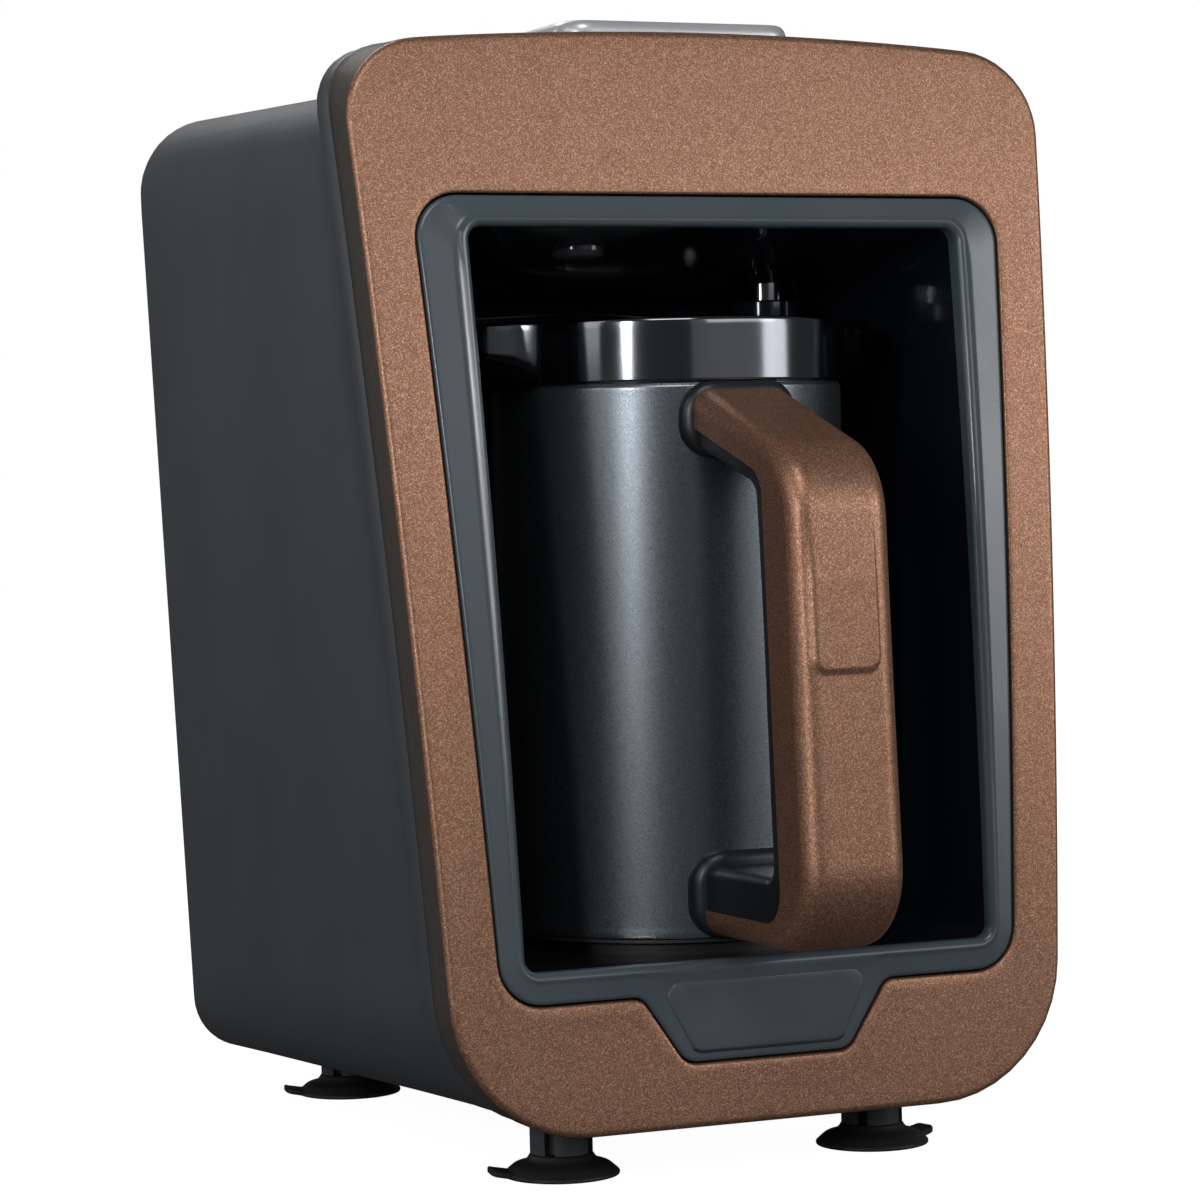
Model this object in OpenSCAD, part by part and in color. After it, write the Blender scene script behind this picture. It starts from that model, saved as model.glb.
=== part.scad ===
// Electric Turkish coffee maker: a leaning front with a lit niche, a pot that
// pulls straight out to the front, and a push button on the top deck.
// Frame: +X right, +Y back, +Z up. The table is z = 0 and the origin is the
// middle of the footprint, handle included. Millimetres.

/* [Body] */
// Height of the middle of the fascia's top edge above the table
fascia_top_z = 246; // [236:1:258]
// Height of the fascia's lower edge above the table
fascia_low_z = 12; // [9:0.5:15]
// Width of the fascia at its top edge
top_w = 167; // [158:1:180]
// Width of the fascia at its lower edge
bottom_w = 141.4; // [136:0.5:150]
// How far the top edge falls from its middle to its corners
crown_drop = 4; // [2:0.5:7]
// Radius of the fascia's upper corners
top_corner_r = 17; // [12:1:22]
// Radius of the fascia's lower corners
bottom_corner_r = 31; // [24:1:34]
// Depth of the body along its underside, from the fascia to the back
body_depth = 181.5; // [176:0.5:190]
// Radius of the front's bow, seen from the side
front_r = 1800; // [1500:50:2400]
// Backward lean of the front at mid height, in degrees
front_lean = 6; // [4.5:0.25:7]
// Depth of the fascia's side band
fascia_depth = 10; // [8:0.5:12]
// Width of the dark seam between the fascia and the rear housing
seam = 1; // [0.6:0.1:1.4]
// Wall of the moulded shells
wall = 2.4; // [1.8:0.1:3]
// Depth of the flange at the front of the rear housing
flange_depth = 8; // [6:0.5:10]
// How far the housing's sides stand in from the fascia's sides, at the top
side_inset = 3; // [2:0.5:4.5]
// How far the housing's sides stand in from the fascia's sides, at the bottom
low_inset = 1.2; // [1:0.1:3]
// How far the housing's top lies below the fascia's top, at the front
top_inset = 10; // [8:0.5:11]
// Height that the housing's top gains towards the back
top_rise = 6.5; // [5:0.5:8]
// Height that the housing's underside loses towards the back
low_fall = 4; // [2:0.5:4]
// Radius of the housing's upper long edges
body_edge_r = 19; // [14:1:22]
// Radius of the housing's lower long edges behind the fascia
low_edge_r = 27; // [24:1:30]
// Radius of the housing's lower long edges at the back
low_rear_r = 13; // [10:1:18]
// Radius of the housing's rear edges
rear_edge_r = 4; // [3:0.5:6]

/* [Window] */
// Height of the window's lower edge above the table
window_low_z = 40; // [37:0.5:43]
// Height of the window's upper edge above the table
window_top_z = 210.4; // [207:0.5:213]
// Width of the window at its lower edge
window_low_w = 121.6; // [118:0.2:124]
// Width of the window at its upper edge
window_top_w = 140; // [136:0.5:142]
// Radius of the window's corners
window_r = 10; // [7:0.5:13]
// Gap between the fascia and the bezel all round
bezel_gap = 0.4; // [0.3:0.1:0.8]
// Height of the bezel's upper and lower rails
rail_h = 7.2; // [6:0.2:8]
// Width of the bezel's side rails at the bottom
rail_low_w = 5.8; // [5:0.1:7]
// Width of the bezel's side rails at the top
rail_top_w = 11.8; // [9:0.1:13]
// Radius of the mouth's corners
mouth_r = 3; // [2:0.5:5]
// How far the bezel's inner lip stands proud of the fascia
bezel_lip = 1.5; // [0.8:0.1:2]
// Width of the bezel's raised inner lip
lip_w = 3; // [2:0.2:3.4]
// Depth of the bezel's skirt behind the front
bezel_depth = 8; // [7:0.5:9]
// Width of the badge tab where it leaves the window
tab_top_w = 58; // [54:1:62]
// Width of the badge tab at its lower edge
tab_low_w = 38.8; // [36:0.2:42]
// Height of the badge tab below the window
tab_h = 14.5; // [13:0.5:16]
// Margin of the tab round the badge plate
badge_margin = 2.6; // [2:0.2:3.4]
// Height of the badge plate
badge_h = 15.2; // [13:0.2:16]
// Thickness of the badge plate
badge_t = 1.1; // [0.8:0.1:1.4]

/* [Niche] */
// Depth of the niche from the front of the bezel, along its floor
niche_depth = 86.2; // [82:0.1:90]
// How far the niche's ceiling falls towards the back
ceiling_drop = 12.7; // [8:0.1:13]
// Wall of the niche liner
liner_wall = 2; // [1.6:0.1:2.4]
// Thickness of the pad that the pot stands on
pad_t = 2.5; // [2:0.1:3]
// Diameter of the pad that the pot stands on
pad_d = 70; // [60:1:74]
// Diameter of the rim sensor's housing under the ceiling
sensor_d = 10.4; // [8:0.2:10.6]
// Place of the rim sensor to the right of the middle
sensor_x = 38; // [38:0.5:42]
// Place of the rim sensor behind the pot's axis
sensor_back = 25.5; // [25.5:0.5:28]
// How far the rim sensor reaches down beside the pot's rim
sensor_drop = 6; // [2:0.5:10]
// Diameter of the light's lens under the ceiling
lens_d = 12; // [10:0.5:14]
// Place of the light's lens to the left of the middle
lens_x = 23; // [19:0.5:27]
// Place of the light's lens in front of the pot's axis
lens_ahead = 6; // [2:0.5:7]

/* [Pot] */
// Outer diameter of the pot's shell at the top
pot_top_d = 78.2; // [74:0.2:80]
// Outer diameter of the pot's shell at the bottom
pot_low_d = 76; // [73:0.2:78]
// Height of the pot from its base to its rim
pot_h = 133.7; // [130:0.1:134]
// Height of the polished rim band
band_h = 13.7; // [12:0.1:16]
// How far the band stands out from the shell
band_proud = 0.4; // [0.2:0.1:0.6]
// How far each spout reaches out from the band
spout_reach = 11; // [8:0.5:12]
// Thickness of the pot's outer shell
shell_t = 1; // [0.8:0.1:1.2]
// Thickness of the pot's inner liner
vessel_t = 0.9; // [0.7:0.1:1.1]
// Height of the chamber under the pot's liner
chamber_h = 20; // [19:0.5:24]
// Gap between the pot's back and the niche's back wall
pot_back_gap = 2.4; // [2:0.1:3.4]
// Width of the pot's plug
plug_w = 22; // [20:0.5:26]
// Height of the pot's plug
plug_h = 11; // [10:0.5:12]
// How far the plug reaches into the dock's socket
plug_reach = 8; // [6:0.5:9]
// Diameter of the dock's contact pins
pin_d = 2.4; // [2:0.1:2.8]

/* [Handle] */
// Width of the handle
handle_w = 23; // [20:0.5:26]
// Reach of the handle in front of the fascia's lower edge
handle_reach = 43.5; // [42:0.5:46]
// Backward lean of the handle's front face from bottom to top
handle_lean = 4.6; // [3:0.2:6]
// Height of the handle's root under the rim band
handle_root_drop = 1.4; // [1:0.1:2]
// Fall of the handle's top from the pot to its front face
handle_fall = 15.5; // [12:0.5:17]
// Height of the handle's underside above the pot's base
handle_low = 1.5; // [1:0.1:2.5]
// Radius of the handle's outer corners
handle_r = 17; // [14:0.5:19]
// Depth of the copper cover on the handle's grip
cover_t = 13.6; // [12:0.2:15]
// Thickness of the copper cover on the handle's arms
arm_t = 7.5; // [6.5:0.1:8.5]
// Thickness of the dark core behind the cover
core_t = 4.6; // [4:0.1:5.5]
// Height of the handle's lower arm, core included
low_arm_h = 15; // [13:0.5:16]
// Width of the raised pad on the grip
grip_pad_w = 15; // [13:0.2:16]
// Height of the raised pad on the grip
grip_pad_h = 34; // [28:1:38]

/* [Top deck] */
// Width of the control plate
plate_w = 56; // [50:1:62]
// Depth of the control plate
plate_d = 31; // [28:0.5:34]
// Thickness of the control plate
plate_t = 3; // [2.4:0.1:3.6]
// Diameter of the push button
button_d = 13; // [11:0.2:15]
// Travel of the push button
button_travel = 1.5; // [1:0.1:2]
// Height of the button's face above the plate
button_proud = 1; // [0.6:0.1:1.4]
// Width of the light ring round the button
ring_w = 1.4; // [1:0.1:2]
// Wire diameter of the button's spring
wire_d = 0.6; // [0.4:0.1:0.8]
// Number of turns of the button's spring
spring_turns = 4; // [3:1:5]

/* [Feet] */
// Distance between the left and right feet
feet_x = 75.4; // [70:0.2:80]
// Distance between the front and rear feet
feet_y = 132.5; // [126:0.5:138]
// Place of the front feet behind the fascia's lower edge
feet_back = 26.5; // [24:0.5:29]
// Diameter of the suction cups
cup_d = 25.2; // [22:0.2:28]
// Height of the suction cups
cup_h = 5; // [4:0.1:6]
// Diameter of the foot posts
post_d = 13.6; // [12:0.2:15]
// Number of slots round each foot post
post_slots = 4; // [3:1:6]

/* [Inside] */
// Thickness of the circuit boards
board_t = 1.6; // [1.2:0.1:2]
// Width of the main board
board_w = 90; // [80:1:100]
// Height of the main board
board_h = 92; // [84:1:100]
// Stand-off of the main board from the niche's back
standoff = 8; // [6:0.5:10]
// Outer diameter of the screw bosses
boss_d = 7; // [6.5:0.1:8]
// Shank diameter of the case screws
screw_d = 3; // [2.6:0.1:3.2]
// Bore of the cord gland
cord_bore = 7; // [6:0.1:8]
// Outer diameter of the cord gland's neck
gland_d = 12; // [11:0.5:14]
// Place of the cord gland to the right of the middle
gland_x = 22; // [20:0.5:26]
// Height of the cord gland above the table
gland_z = 34.4; // [33:0.2:40]
// Number of vent slots in the back
vent_count = 7; // [4:1:8]

/* [Rear panel] */
// Width of the rear panel at its lower edge
panel_w = 110; // [100:1:112]
// Height of the rear panel's lower edge above the table
panel_low_z = 21; // [20.5:0.1:21.5]
// Height of the rear panel's upper edge above the table
panel_top_z = 220; // [190:1:222]

/* [Hidden] */

// Clearances: parts that touch, parts that are fixed together, and parts that move past each other
touch = 0.05;
fit = 0.2;
free_gap = 0.3;
far = 400;
arc_steps = 7;
$fn = 64;

// Places along Y
overall_d = body_depth + handle_reach;
back_y = overall_d / 2;
front_low_y = back_y - body_depth;
handle_y = -overall_d / 2;

// The front is a cylinder along X
lean_z = (fascia_low_z + fascia_top_z) / 2;
front_axis_z = lean_z - front_r * sin(front_lean);
front_axis_y = front_low_y + sqrt(pow(front_r, 2) - pow(fascia_low_z - front_axis_z, 2));
function front_y(z) = front_axis_y - sqrt(pow(front_r, 2) - pow(z - front_axis_z, 2));

// Heights
body_top_z = fascia_top_z - top_inset;
body_low_z = fascia_low_z + 2.8;
function underside_z(y) = body_low_z - low_fall * (y - front_low_y) / body_depth;
mouth_low_w = window_low_w - 2 * rail_low_w;
mouth_top_w = window_top_w - 2 * rail_top_w;
mouth_low_z = window_low_z + rail_h;
mouth_top_z = window_top_z - rail_h;
pot_z = mouth_low_z + pad_t + free_gap;
rim_z = pot_z + pot_h;
band_z = rim_z - band_h;
plate_z = fascia_top_z + fit;

// Niche and pot, from the front back
niche_back_y = front_y(mouth_low_z) + niche_depth;
pot_top_r = pot_top_d / 2;
pot_low_r = pot_low_d / 2;
band_r = pot_top_r + band_proud;
pot_y = niche_back_y - pot_back_gap - band_r;
vessel_r = pot_low_r - shell_t - 0.7;
vessel_z = pot_z + chamber_h;

// Width of a side that leans, at a height
function side_at(z) = (bottom_w + (top_w - bottom_w) * (z - fascia_low_z) / (fascia_top_z - fascia_low_z)) / 2;
function body_side_at(z) =
    side_at(z) - low_inset - (side_inset - low_inset) * (z - fascia_low_z) / (fascia_top_z - fascia_low_z);

// ---- outline helpers ----
function unit2(v) = v / norm(v);
function turn_of(a, b) = let (d = b - a) d > 180 ? d - 360 : d < -180 ? d + 360 : d;

// Points of an arc of radius r that rounds the corner p between its neighbours
function corner_arc(p, before, after, r) =
    let (
        u = unit2(before - p),
        v = unit2(after - p),
        half = acos(max(-1, min(1, u * v))) / 2,
        centre = p + unit2(u + v) * r / sin(half),
        start = p + u * r / tan(half) - centre,
        finish = p + v * r / tan(half) - centre,
        a0 = atan2(start[1], start[0]),
        turn = turn_of(a0, atan2(finish[1], finish[0]))
    )
    [for (i = [0 : arc_steps]) let (a = a0 + turn * i / arc_steps) centre + r * [cos(a), sin(a)]];

// A closed outline with each corner rounded by its own radius; 0 leaves it sharp
function rounded(points, radii) =
    let (n = len(points))
    [for (i = [0 : n - 1])
        each radii[i] > 0
            ? corner_arc(points[i], points[(i + n - 1) % n], points[(i + 1) % n], radii[i])
            : [points[i]]];

// A trapezoid standing on its lower edge, grown by g on every side
function trapezoid(z0, half0, z1, half1, r0, r1, g) =
    rounded([[-half0 - g, z0 - g], [half0 + g, z0 - g], [half1 + g, z1 + g], [-half1 - g, z1 + g]],
            [max(r0 + g, 0.2), max(r0 + g, 0.2), max(r1 + g, 0.2), max(r1 + g, 0.2)]);

// The same with a crowned upper edge that falls by drop to its corners
function crowned(z0, half0, z1, half1, drop, r0, r1, g) =
    let (
        flat_half = half1 - 1.25 * r1,
        crown = [for (i = [4 : -1 : -4]) let (x = flat_half * i / 4) [x, z1 + g - drop * pow(x / half1, 2)]]
    )
    rounded(concat([[-half0 - g, z0 - g], [half0 + g, z0 - g], [half1 + g, z1 + g - drop]],
                   crown, [[-half1 - g, z1 + g - drop]]),
            concat([r0 + g, r0 + g, r1 + g], [for (p = crown) 0], [r1 + g]));

function fascia_line(g) =
    crowned(fascia_low_z, bottom_w / 2, fascia_top_z, top_w / 2, crown_drop, bottom_corner_r, top_corner_r, g);
// Outline of the housing's upper half, and of its lower half
function upper_line(g) =
    crowned(-far / 8, body_side_at(-far / 8), body_top_z, body_side_at(body_top_z),
            crown_drop * 0.8, 0, body_edge_r, g);
function lower_line(g) =
    rounded([[-body_side_at(body_low_z) - g, body_low_z - g], [body_side_at(body_low_z) + g, body_low_z - g],
             [body_side_at(far) + g, far], [-body_side_at(far) - g, far]],
            [low_rear_r + g, low_rear_r + g, 0, 0]);
// One broad lower corner with its side and underside
function corner_line(side, g) =
    rounded([[side * (body_side_at(body_low_z) + g), body_low_z - g], [side * (body_side_at(far) + g), far],
             [-side * far, far], [-side * far, body_low_z - g]],
            [low_edge_r + g, 0, 0, 0]);
function window_line(g) =
    trapezoid(window_low_z, window_low_w / 2, window_top_z, window_top_w / 2, window_r, window_r, g);
function mouth_line(g) =
    trapezoid(mouth_low_z, mouth_low_w / 2, mouth_top_z, mouth_top_w / 2, mouth_r, mouth_r, g);
function tab_line(g) =
    rounded([[-tab_low_w / 2 - g, window_low_z - tab_h - g], [tab_low_w / 2 + g, window_low_z - tab_h - g],
             [tab_top_w / 2 + g, window_low_z + 1], [-tab_top_w / 2 - g, window_low_z + 1]],
            [3 + g, 3 + g, 0, 0]);
badge_low_z = window_low_z - tab_h + badge_margin;
function badge_line(g) =
    let (slope = (tab_top_w - tab_low_w) / 2 / tab_h)
    trapezoid(badge_low_z, tab_low_w / 2 - badge_margin * 0.7, badge_low_z + badge_h,
              tab_low_w / 2 - badge_margin * 0.7 + slope * badge_h * 0.8, 2, 2, g);

// ---- placing helpers ----
// Stands an X-Z outline up and carries it from y0 to y1
module along_y(y0, y1) {
    translate([0, y1, 0]) rotate([90, 0, 0]) linear_extrude(y1 - y0) children();
}

// Stands a Y-Z outline up and carries it across X
module across_x(w) {
    translate([-w / 2, 0, 0]) rotate([90, 0, 90]) linear_extrude(w) children();
}

// All that lies deeper than d behind the bowed front
module behind_front(d) {
    translate([0, front_axis_y, front_axis_z]) rotate([0, 90, 0])
        cylinder(r = front_r - d, h = 2 * top_w, center = true, $fn = 720);
}

// Carries an X-Z outline through the whole depth of the bowed front
front_margin = 10;
front_reach = 60;
module through_front(line) {
    along_y(front_low_y - front_margin, front_low_y + front_reach) polygon(line);
}

// A slice of an outline between two depths behind the bowed front
module front_slice(d0, d1, line) {
    difference() {
        intersection() {
            through_front(line);
            behind_front(d0);
        }
        behind_front(d1);
    }
}

module at_pot() {
    translate([0, pot_y, 0]) children();
}

module tube(r_out, r_in, z0, z1) {
    translate([0, 0, z0]) difference() {
        cylinder(r = r_out, h = z1 - z0);
        translate([0, 0, -1]) cylinder(r = r_in, h = z1 - z0 + 2);
    }
}

module block(x0, x1, y0, y1, z0, z1) {
    translate([x0, y0, z0]) cube([x1 - x0, y1 - y0, z1 - z0]);
}

// A cylinder along +Y from y0 to y1
module rod_y(r, x, y0, y1, z) {
    translate([x, y1, z]) rotate([90, 0, 0]) cylinder(r = r, h = y1 - y0);
}

// ---- the shell of the body ----
housing_front = fascia_depth + seam;
ring_back = housing_front + wall;
liner_hole = liner_wall + 0.5;

// Side view of the housing, which rounds its rear edges only
side_slack = 0.5;
function side_line(g) =
    let (y0 = front_low_y - 10, y1 = back_y + g,
         z0 = body_low_z - side_slack - g, z1 = body_top_z + side_slack + g)
    rounded([[y0, z0], [y1, z0 - low_fall], [y1, z1 + top_rise], [y0, z1]],
            [0, rear_edge_r * 0.6 + g, rear_edge_r + g, 0]);
// Plan view of the housing
function plan_line(g) =
    let (half = top_w / 2 + g, y0 = front_low_y - 10, y1 = back_y + g)
    rounded([[-half, y0], [half, y0], [half, y1], [-half, y1]],
            [0, 0, rear_edge_r + side_inset + g, rear_edge_r + side_inset + g]);

// Turns its children about X at a point of the Y-Z plane
module tilted(angle, y, z) {
    translate([0, y, z]) rotate([angle, 0, 0]) translate([0, -y, -z]) children();
}

corner_slack = 0.3;
corner_leave = (low_edge_r - low_rear_r) * (1 - sqrt(0.5));

module low_corner(side, g) {
    translate([0, front_low_y, 0]) rotate([0, 0, -side * atan(corner_leave / body_depth)])
        translate([0, -front_low_y, 0])
            tilted(-atan((low_fall + corner_leave) / body_depth), front_low_y, body_low_z)
                along_y(front_low_y - 25, back_y + 25) polygon(corner_line(side, g + corner_slack));
}

// The housing's form: the top rises and the underside falls towards the back
module body_form(g) {
    intersection() {
        tilted(atan(top_rise / body_depth), front_low_y, body_top_z)
            along_y(front_low_y - 25, back_y + 15) polygon(upper_line(g));
        tilted(-atan(low_fall / body_depth), front_low_y, body_low_z)
            along_y(front_low_y - 25, back_y + 15) polygon(lower_line(g));
        // the broad corners move outwards and down until they leave the body at the back
        low_corner(-1, g);
        low_corner(1, g);
        across_x(2 * top_w) polygon(side_line(g));
        linear_extrude(fascia_top_z + 20) polygon(plan_line(g));
    }
}

// The raised deck under the control plate
plate_y0 = front_y(fascia_top_z) + fascia_depth - 2.2;
plate_y1 = plate_y0 + plate_d;
button_y = plate_y0 + plate_d / 2 + 1;
well_r = button_d / 2 + ring_w + fit;
button_top_z = plate_z + plate_t + button_proud;
cap_low_z = plate_z - 1.5;
well_floor_z = cap_low_z - button_travel - wire_d * spring_turns;
well_base_z = well_floor_z - 2;
stem_r = 2;
guide_r = stem_r + free_gap;

module deck_form() {
    block(-plate_w / 2 + 2, plate_w / 2 - 2, plate_y0 + 3, plate_y1 - 2, body_top_z - wall - 1, plate_z - fit);
}

// Bosses for the case screws stand in the housing's lower corners
boss_r = boss_d / 2;
feet_y0 = front_low_y + feet_back;
feet_y1 = feet_y0 + feet_y;
case_boss_x = feet_x / 2 + 2;
case_boss_top_z = body_low_z + 18;
case_boss_y = [feet_y0 + 24, feet_y1 - 30];
function floor_z(y) = underside_z(y) + wall + fit;

// The base plate closes an opening between the lower edges
base_half_w = feet_x / 2 + post_d / 2 + 1.8;
base_y0 = feet_y0 - post_d / 2 - 4;
base_y1 = feet_y1 + post_d / 2 + 4;
base_r = 6;
function base_line(g) =
    rounded([[-base_half_w - g, base_y0 - g], [base_half_w + g, base_y0 - g],
             [base_half_w + g, base_y1 + g], [-base_half_w - g, base_y1 + g]],
            [base_r + g, base_r + g, base_r + g, base_r + g]);

module case_bosses() {
    for (side = [-1, 1], y = case_boss_y) {
        translate([side * case_boss_x, y, floor_z(y)]) cylinder(r = boss_r, h = case_boss_top_z - floor_z(y));
        translate([side * case_boss_x + (side > 0 ? 0 : -far / 10), y - wall / 2, floor_z(y)])
            cube([far / 10, wall, case_boss_top_z - floor_z(y)]);
    }
}

// Fascia screws, in the corners of the broad front rim
fascia_boss_x = [side_at(fascia_top_z - 22) - 15, side_at(window_low_z) - 22];
fascia_boss_z = [fascia_top_z - 22, (fascia_low_z + window_low_z) / 2 - 1];
fascia_boss_r = boss_r - 0.4;

module at_fascia_screws() {
    for (side = [-1, 1], i = [0, 1])
        translate([side * fascia_boss_x[i], front_y(fascia_boss_z[i]), fascia_boss_z[i]])
            rotate([-front_lean, 0, 0]) children();
}

module rod_back(r, y0, y1) {
    translate([0, y1, 0]) rotate([90, 0, 0]) cylinder(r = r, h = y1 - y0);
}

// The rear panel closes the open back and stands on a ledge
panel_r = 10;
panel_flare = 4;
ledge_w = 3;
panel_boss_h = 7;
function panel_line(g) =
    trapezoid(panel_low_z, panel_w / 2, panel_top_z, panel_w / 2 + panel_flare, panel_r, panel_r, g);
panel_screw_z = [panel_low_z + 41, panel_top_z - 20];
function panel_screw_x(z) =
    panel_w / 2 - ledge_w - 0.5 + panel_flare * (z - panel_low_z) / (panel_top_z - panel_low_z);

module at_panel_screws() {
    for (side = [-1, 1], z = panel_screw_z)
        translate([side * panel_screw_x(z), 0, z]) children();
}

control_z = well_base_z - button_travel - 5.6;
control_boss_x = plate_w / 2 - 7;
cove_steps = 3;
cove_step = 2.6;
vent_pitch = 8;
vent_h = 3;
vent_x = [-32, 4];

module rear_housing() {
    color([0.22, 0.23, 0.25])
    difference() {
        union() {
            difference() {
                union() {
                    intersection() {
                        body_form(0);
                        behind_front(housing_front);
                    }
                    // flange behind the fascia, stepping down to the body in a cove
                    front_slice(housing_front, housing_front + flange_depth, fascia_line(-0.6));
                    for (i = [1 : cove_steps])
                        front_slice(housing_front + flange_depth - 1, housing_front + flange_depth + i * cove_step,
                                    fascia_line(-0.6 - (cove_steps + 1 - i) * cove_step));
                    intersection() {
                        deck_form();
                        behind_front(housing_front);
                    }
                }
                intersection() {
                    body_form(-wall);
                    behind_front(ring_back);
                }
                // open underside, closed by the base plate
                linear_extrude(floor_z(front_low_y) + 2) polygon(base_line(fit));
            }
            intersection() {
                case_bosses();
                body_form(-wall / 2);
            }
            // ledge round the open back, with bosses for the rear panel's screws
            difference() {
                along_y(back_y - 2 * wall, back_y - wall / 2) polygon(panel_line(2));
                along_y(back_y - 3 * wall, back_y) polygon(panel_line(-ledge_w));
            }
            at_panel_screws() rod_y(boss_r - 0.5, 0, back_y - wall - panel_boss_h, back_y - wall, 0);
            for (side = [-1, 1])
                translate([side * control_boss_x, button_y, control_z + board_t + 0.05])
                    cylinder(r = boss_r - 0.5, h = body_top_z + top_rise / 2 - control_z - board_t - wall);
        }
        // the button's well, the hole for its stem and the room under it
        translate([0, button_y, well_floor_z]) cylinder(r = well_r, h = far);
        translate([0, button_y, well_base_z - 1]) cylinder(r = guide_r, h = far);
        translate([0, button_y, control_z]) cylinder(r = well_r, h = well_base_z - control_z);
        // opening for the niche
        through_front(mouth_line(liner_hole));
        // holes for the fascia screws
        at_fascia_screws() rod_back(screw_d / 2 + fit, 0, ring_back + 30);
        // holes for the case screws
        for (side = [-1, 1], y = case_boss_y)
            translate([side * case_boss_x, y, 0]) cylinder(r = screw_d / 2 + 0.05, h = case_boss_top_z - 2);
        // recess for the rear panel, and the holes for its screws
        along_y(back_y - wall, back_y + 1) polygon(panel_line(0));
        at_panel_screws() rod_y(screw_d / 2 + 0.05, 0, back_y - wall - panel_boss_h + 1, back_y, 0);
    }
}

module rear_panel() {
    color([0.22, 0.23, 0.25])
    difference() {
        along_y(back_y - wall + touch, back_y) polygon(panel_line(-fit));
        // cord gland's seat, and the vents
        rod_y(gland_d / 2 + 0.05, gland_x, back_y - 2 * wall, back_y + 1, gland_z);
        for (i = [0 : vent_count - 1])
            translate([0, 0, gland_z - vent_pitch + i * vent_pitch])
                block(vent_x[0], vent_x[1], back_y - 2 * wall, back_y + 1, 0, vent_h);
        at_panel_screws() {
            rod_y(screw_d / 2 + fit, 0, back_y - 2 * wall, back_y + 1, 0);
            rod_y(screw_d + fit, 0, back_y - wall / 2, back_y + 1, 0);
        }
    }
}

module front_fascia() {
    color([0.62, 0.36, 0.24])
    difference() {
        union() {
            difference() {
                front_slice(0, fascia_depth, fascia_line(0));
                intersection() {
                    through_front(fascia_line(-wall));
                    behind_front(wall);
                }
            }
            difference() {
                at_fascia_screws() rod_back(fascia_boss_r, 1, housing_front + 20);
                behind_front(housing_front - 0.1);
            }
        }
        at_fascia_screws() rod_back(screw_d / 2 + 0.05, wall + 1.2, far);
        through_front(window_line(0));
        through_front(tab_line(0));
    }
}

module bezel_frame() {
    color([0.2, 0.21, 0.23])
    difference() {
        union() {
            front_slice(0, bezel_depth, window_line(-bezel_gap));
            front_slice(0, bezel_depth, tab_line(-bezel_gap));
            front_slice(-bezel_lip, wall, mouth_line(lip_w));
        }
        // hollow behind the skin
        intersection() {
            through_front(window_line(-bezel_gap - wall * 0.8));
            behind_front(wall);
        }
        intersection() {
            through_front(tab_line(-bezel_gap - wall * 0.8));
            behind_front(wall);
        }
        through_front(mouth_line(0));
        // seat of the badge plate
        difference() {
            through_front(badge_line(fit));
            behind_front(badge_t + 0.1);
        }
    }
}

module badge_plate() {
    color([0.16, 0.17, 0.19]) front_slice(0, badge_t, badge_line(0));
}

// ---- the niche ----
function ceiling_z(y) =
    mouth_top_z - ceiling_drop * (y - front_y(mouth_top_z)) / (niche_back_y - front_y(mouth_top_z));

function niche_side(g, g_back) =
    let (y0 = front_low_y - 10, y1 = niche_back_y + g_back)
    [[y0, mouth_low_z - g], [y1, mouth_low_z - g], [y1, ceiling_z(niche_back_y) + g], [y0, ceiling_z(y0) + g]];

module niche_form(g, g_back) {
    intersection() {
        along_y(front_low_y - 5, niche_back_y + g_back) polygon(mouth_line(g));
        across_x(2 * top_w) polygon(niche_side(g, g_back));
    }
}

socket_z0 = pot_z + 3.5;
socket_x = plug_w / 2 + free_gap;
socket_wall = 1.8;
socket_depth = plug_reach + 3;
pin_pitch = plug_w / 3.4;
board_y0 = niche_back_y + liner_wall + standoff;
board_y1 = board_y0 + board_t;
board_lift = 26;
board_z0 = mouth_low_z + board_lift;
board_z1 = board_z0 + board_h;
board_screw_x = board_w / 2 - 5;
board_screw_z = [board_z0 + 5, board_z1 - 5];
sensor_y = pot_y + sensor_back;
sensor_low_z = rim_z - sensor_drop;
lens_y = pot_y - lens_ahead;
light_board_z = ceiling_z(lens_y) + liner_wall + 5;
light_boss = [[-lens_x, lens_y + 16], [sensor_x - 14, sensor_y - 8], [4, lens_y]];

module niche_liner() {
    color([0.05, 0.05, 0.06])
    difference() {
        union() {
            difference() {
                union() {
                    intersection() {
                        niche_form(liner_wall, liner_wall);
                        behind_front(wall + 0.1);
                    }
                    front_slice(bezel_depth + 0.1, housing_front - 0.1, window_line(-bezel_gap));
                }
                niche_form(0, 0);
            }
            for (side = [-1, 1], z = board_screw_z)
                rod_y(boss_r, side * board_screw_x, niche_back_y + 1, board_y0, z);
            for (p = light_boss)
                translate([p[0], p[1], ceiling_z(p[1]) + 1])
                    cylinder(r = boss_r - 1, h = light_board_z - touch - ceiling_z(p[1]) - 1);
        }
        for (side = [-1, 1], z = board_screw_z)
            rod_y(screw_d / 2 + 0.05, side * board_screw_x, niche_back_y + liner_wall + 0.5, far, z);
        // the socket, the rim sensor and the light pass through the walls
        block(-socket_x, socket_x, niche_back_y - 1, niche_back_y + 5,
              socket_z0 - free_gap, socket_z0 + plug_h + free_gap);
        translate([sensor_x, sensor_y, sensor_low_z]) cylinder(r = sensor_d / 2 + fit, h = 60);
        translate([-lens_x, lens_y, sensor_low_z]) cylinder(r = lens_d / 2 + fit, h = 60);
    }
}

module dock_pad() {
    color([0.08, 0.08, 0.08])
    translate([0, pot_y, mouth_low_z]) cylinder(r = pad_d / 2, h = pad_t);
}

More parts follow.
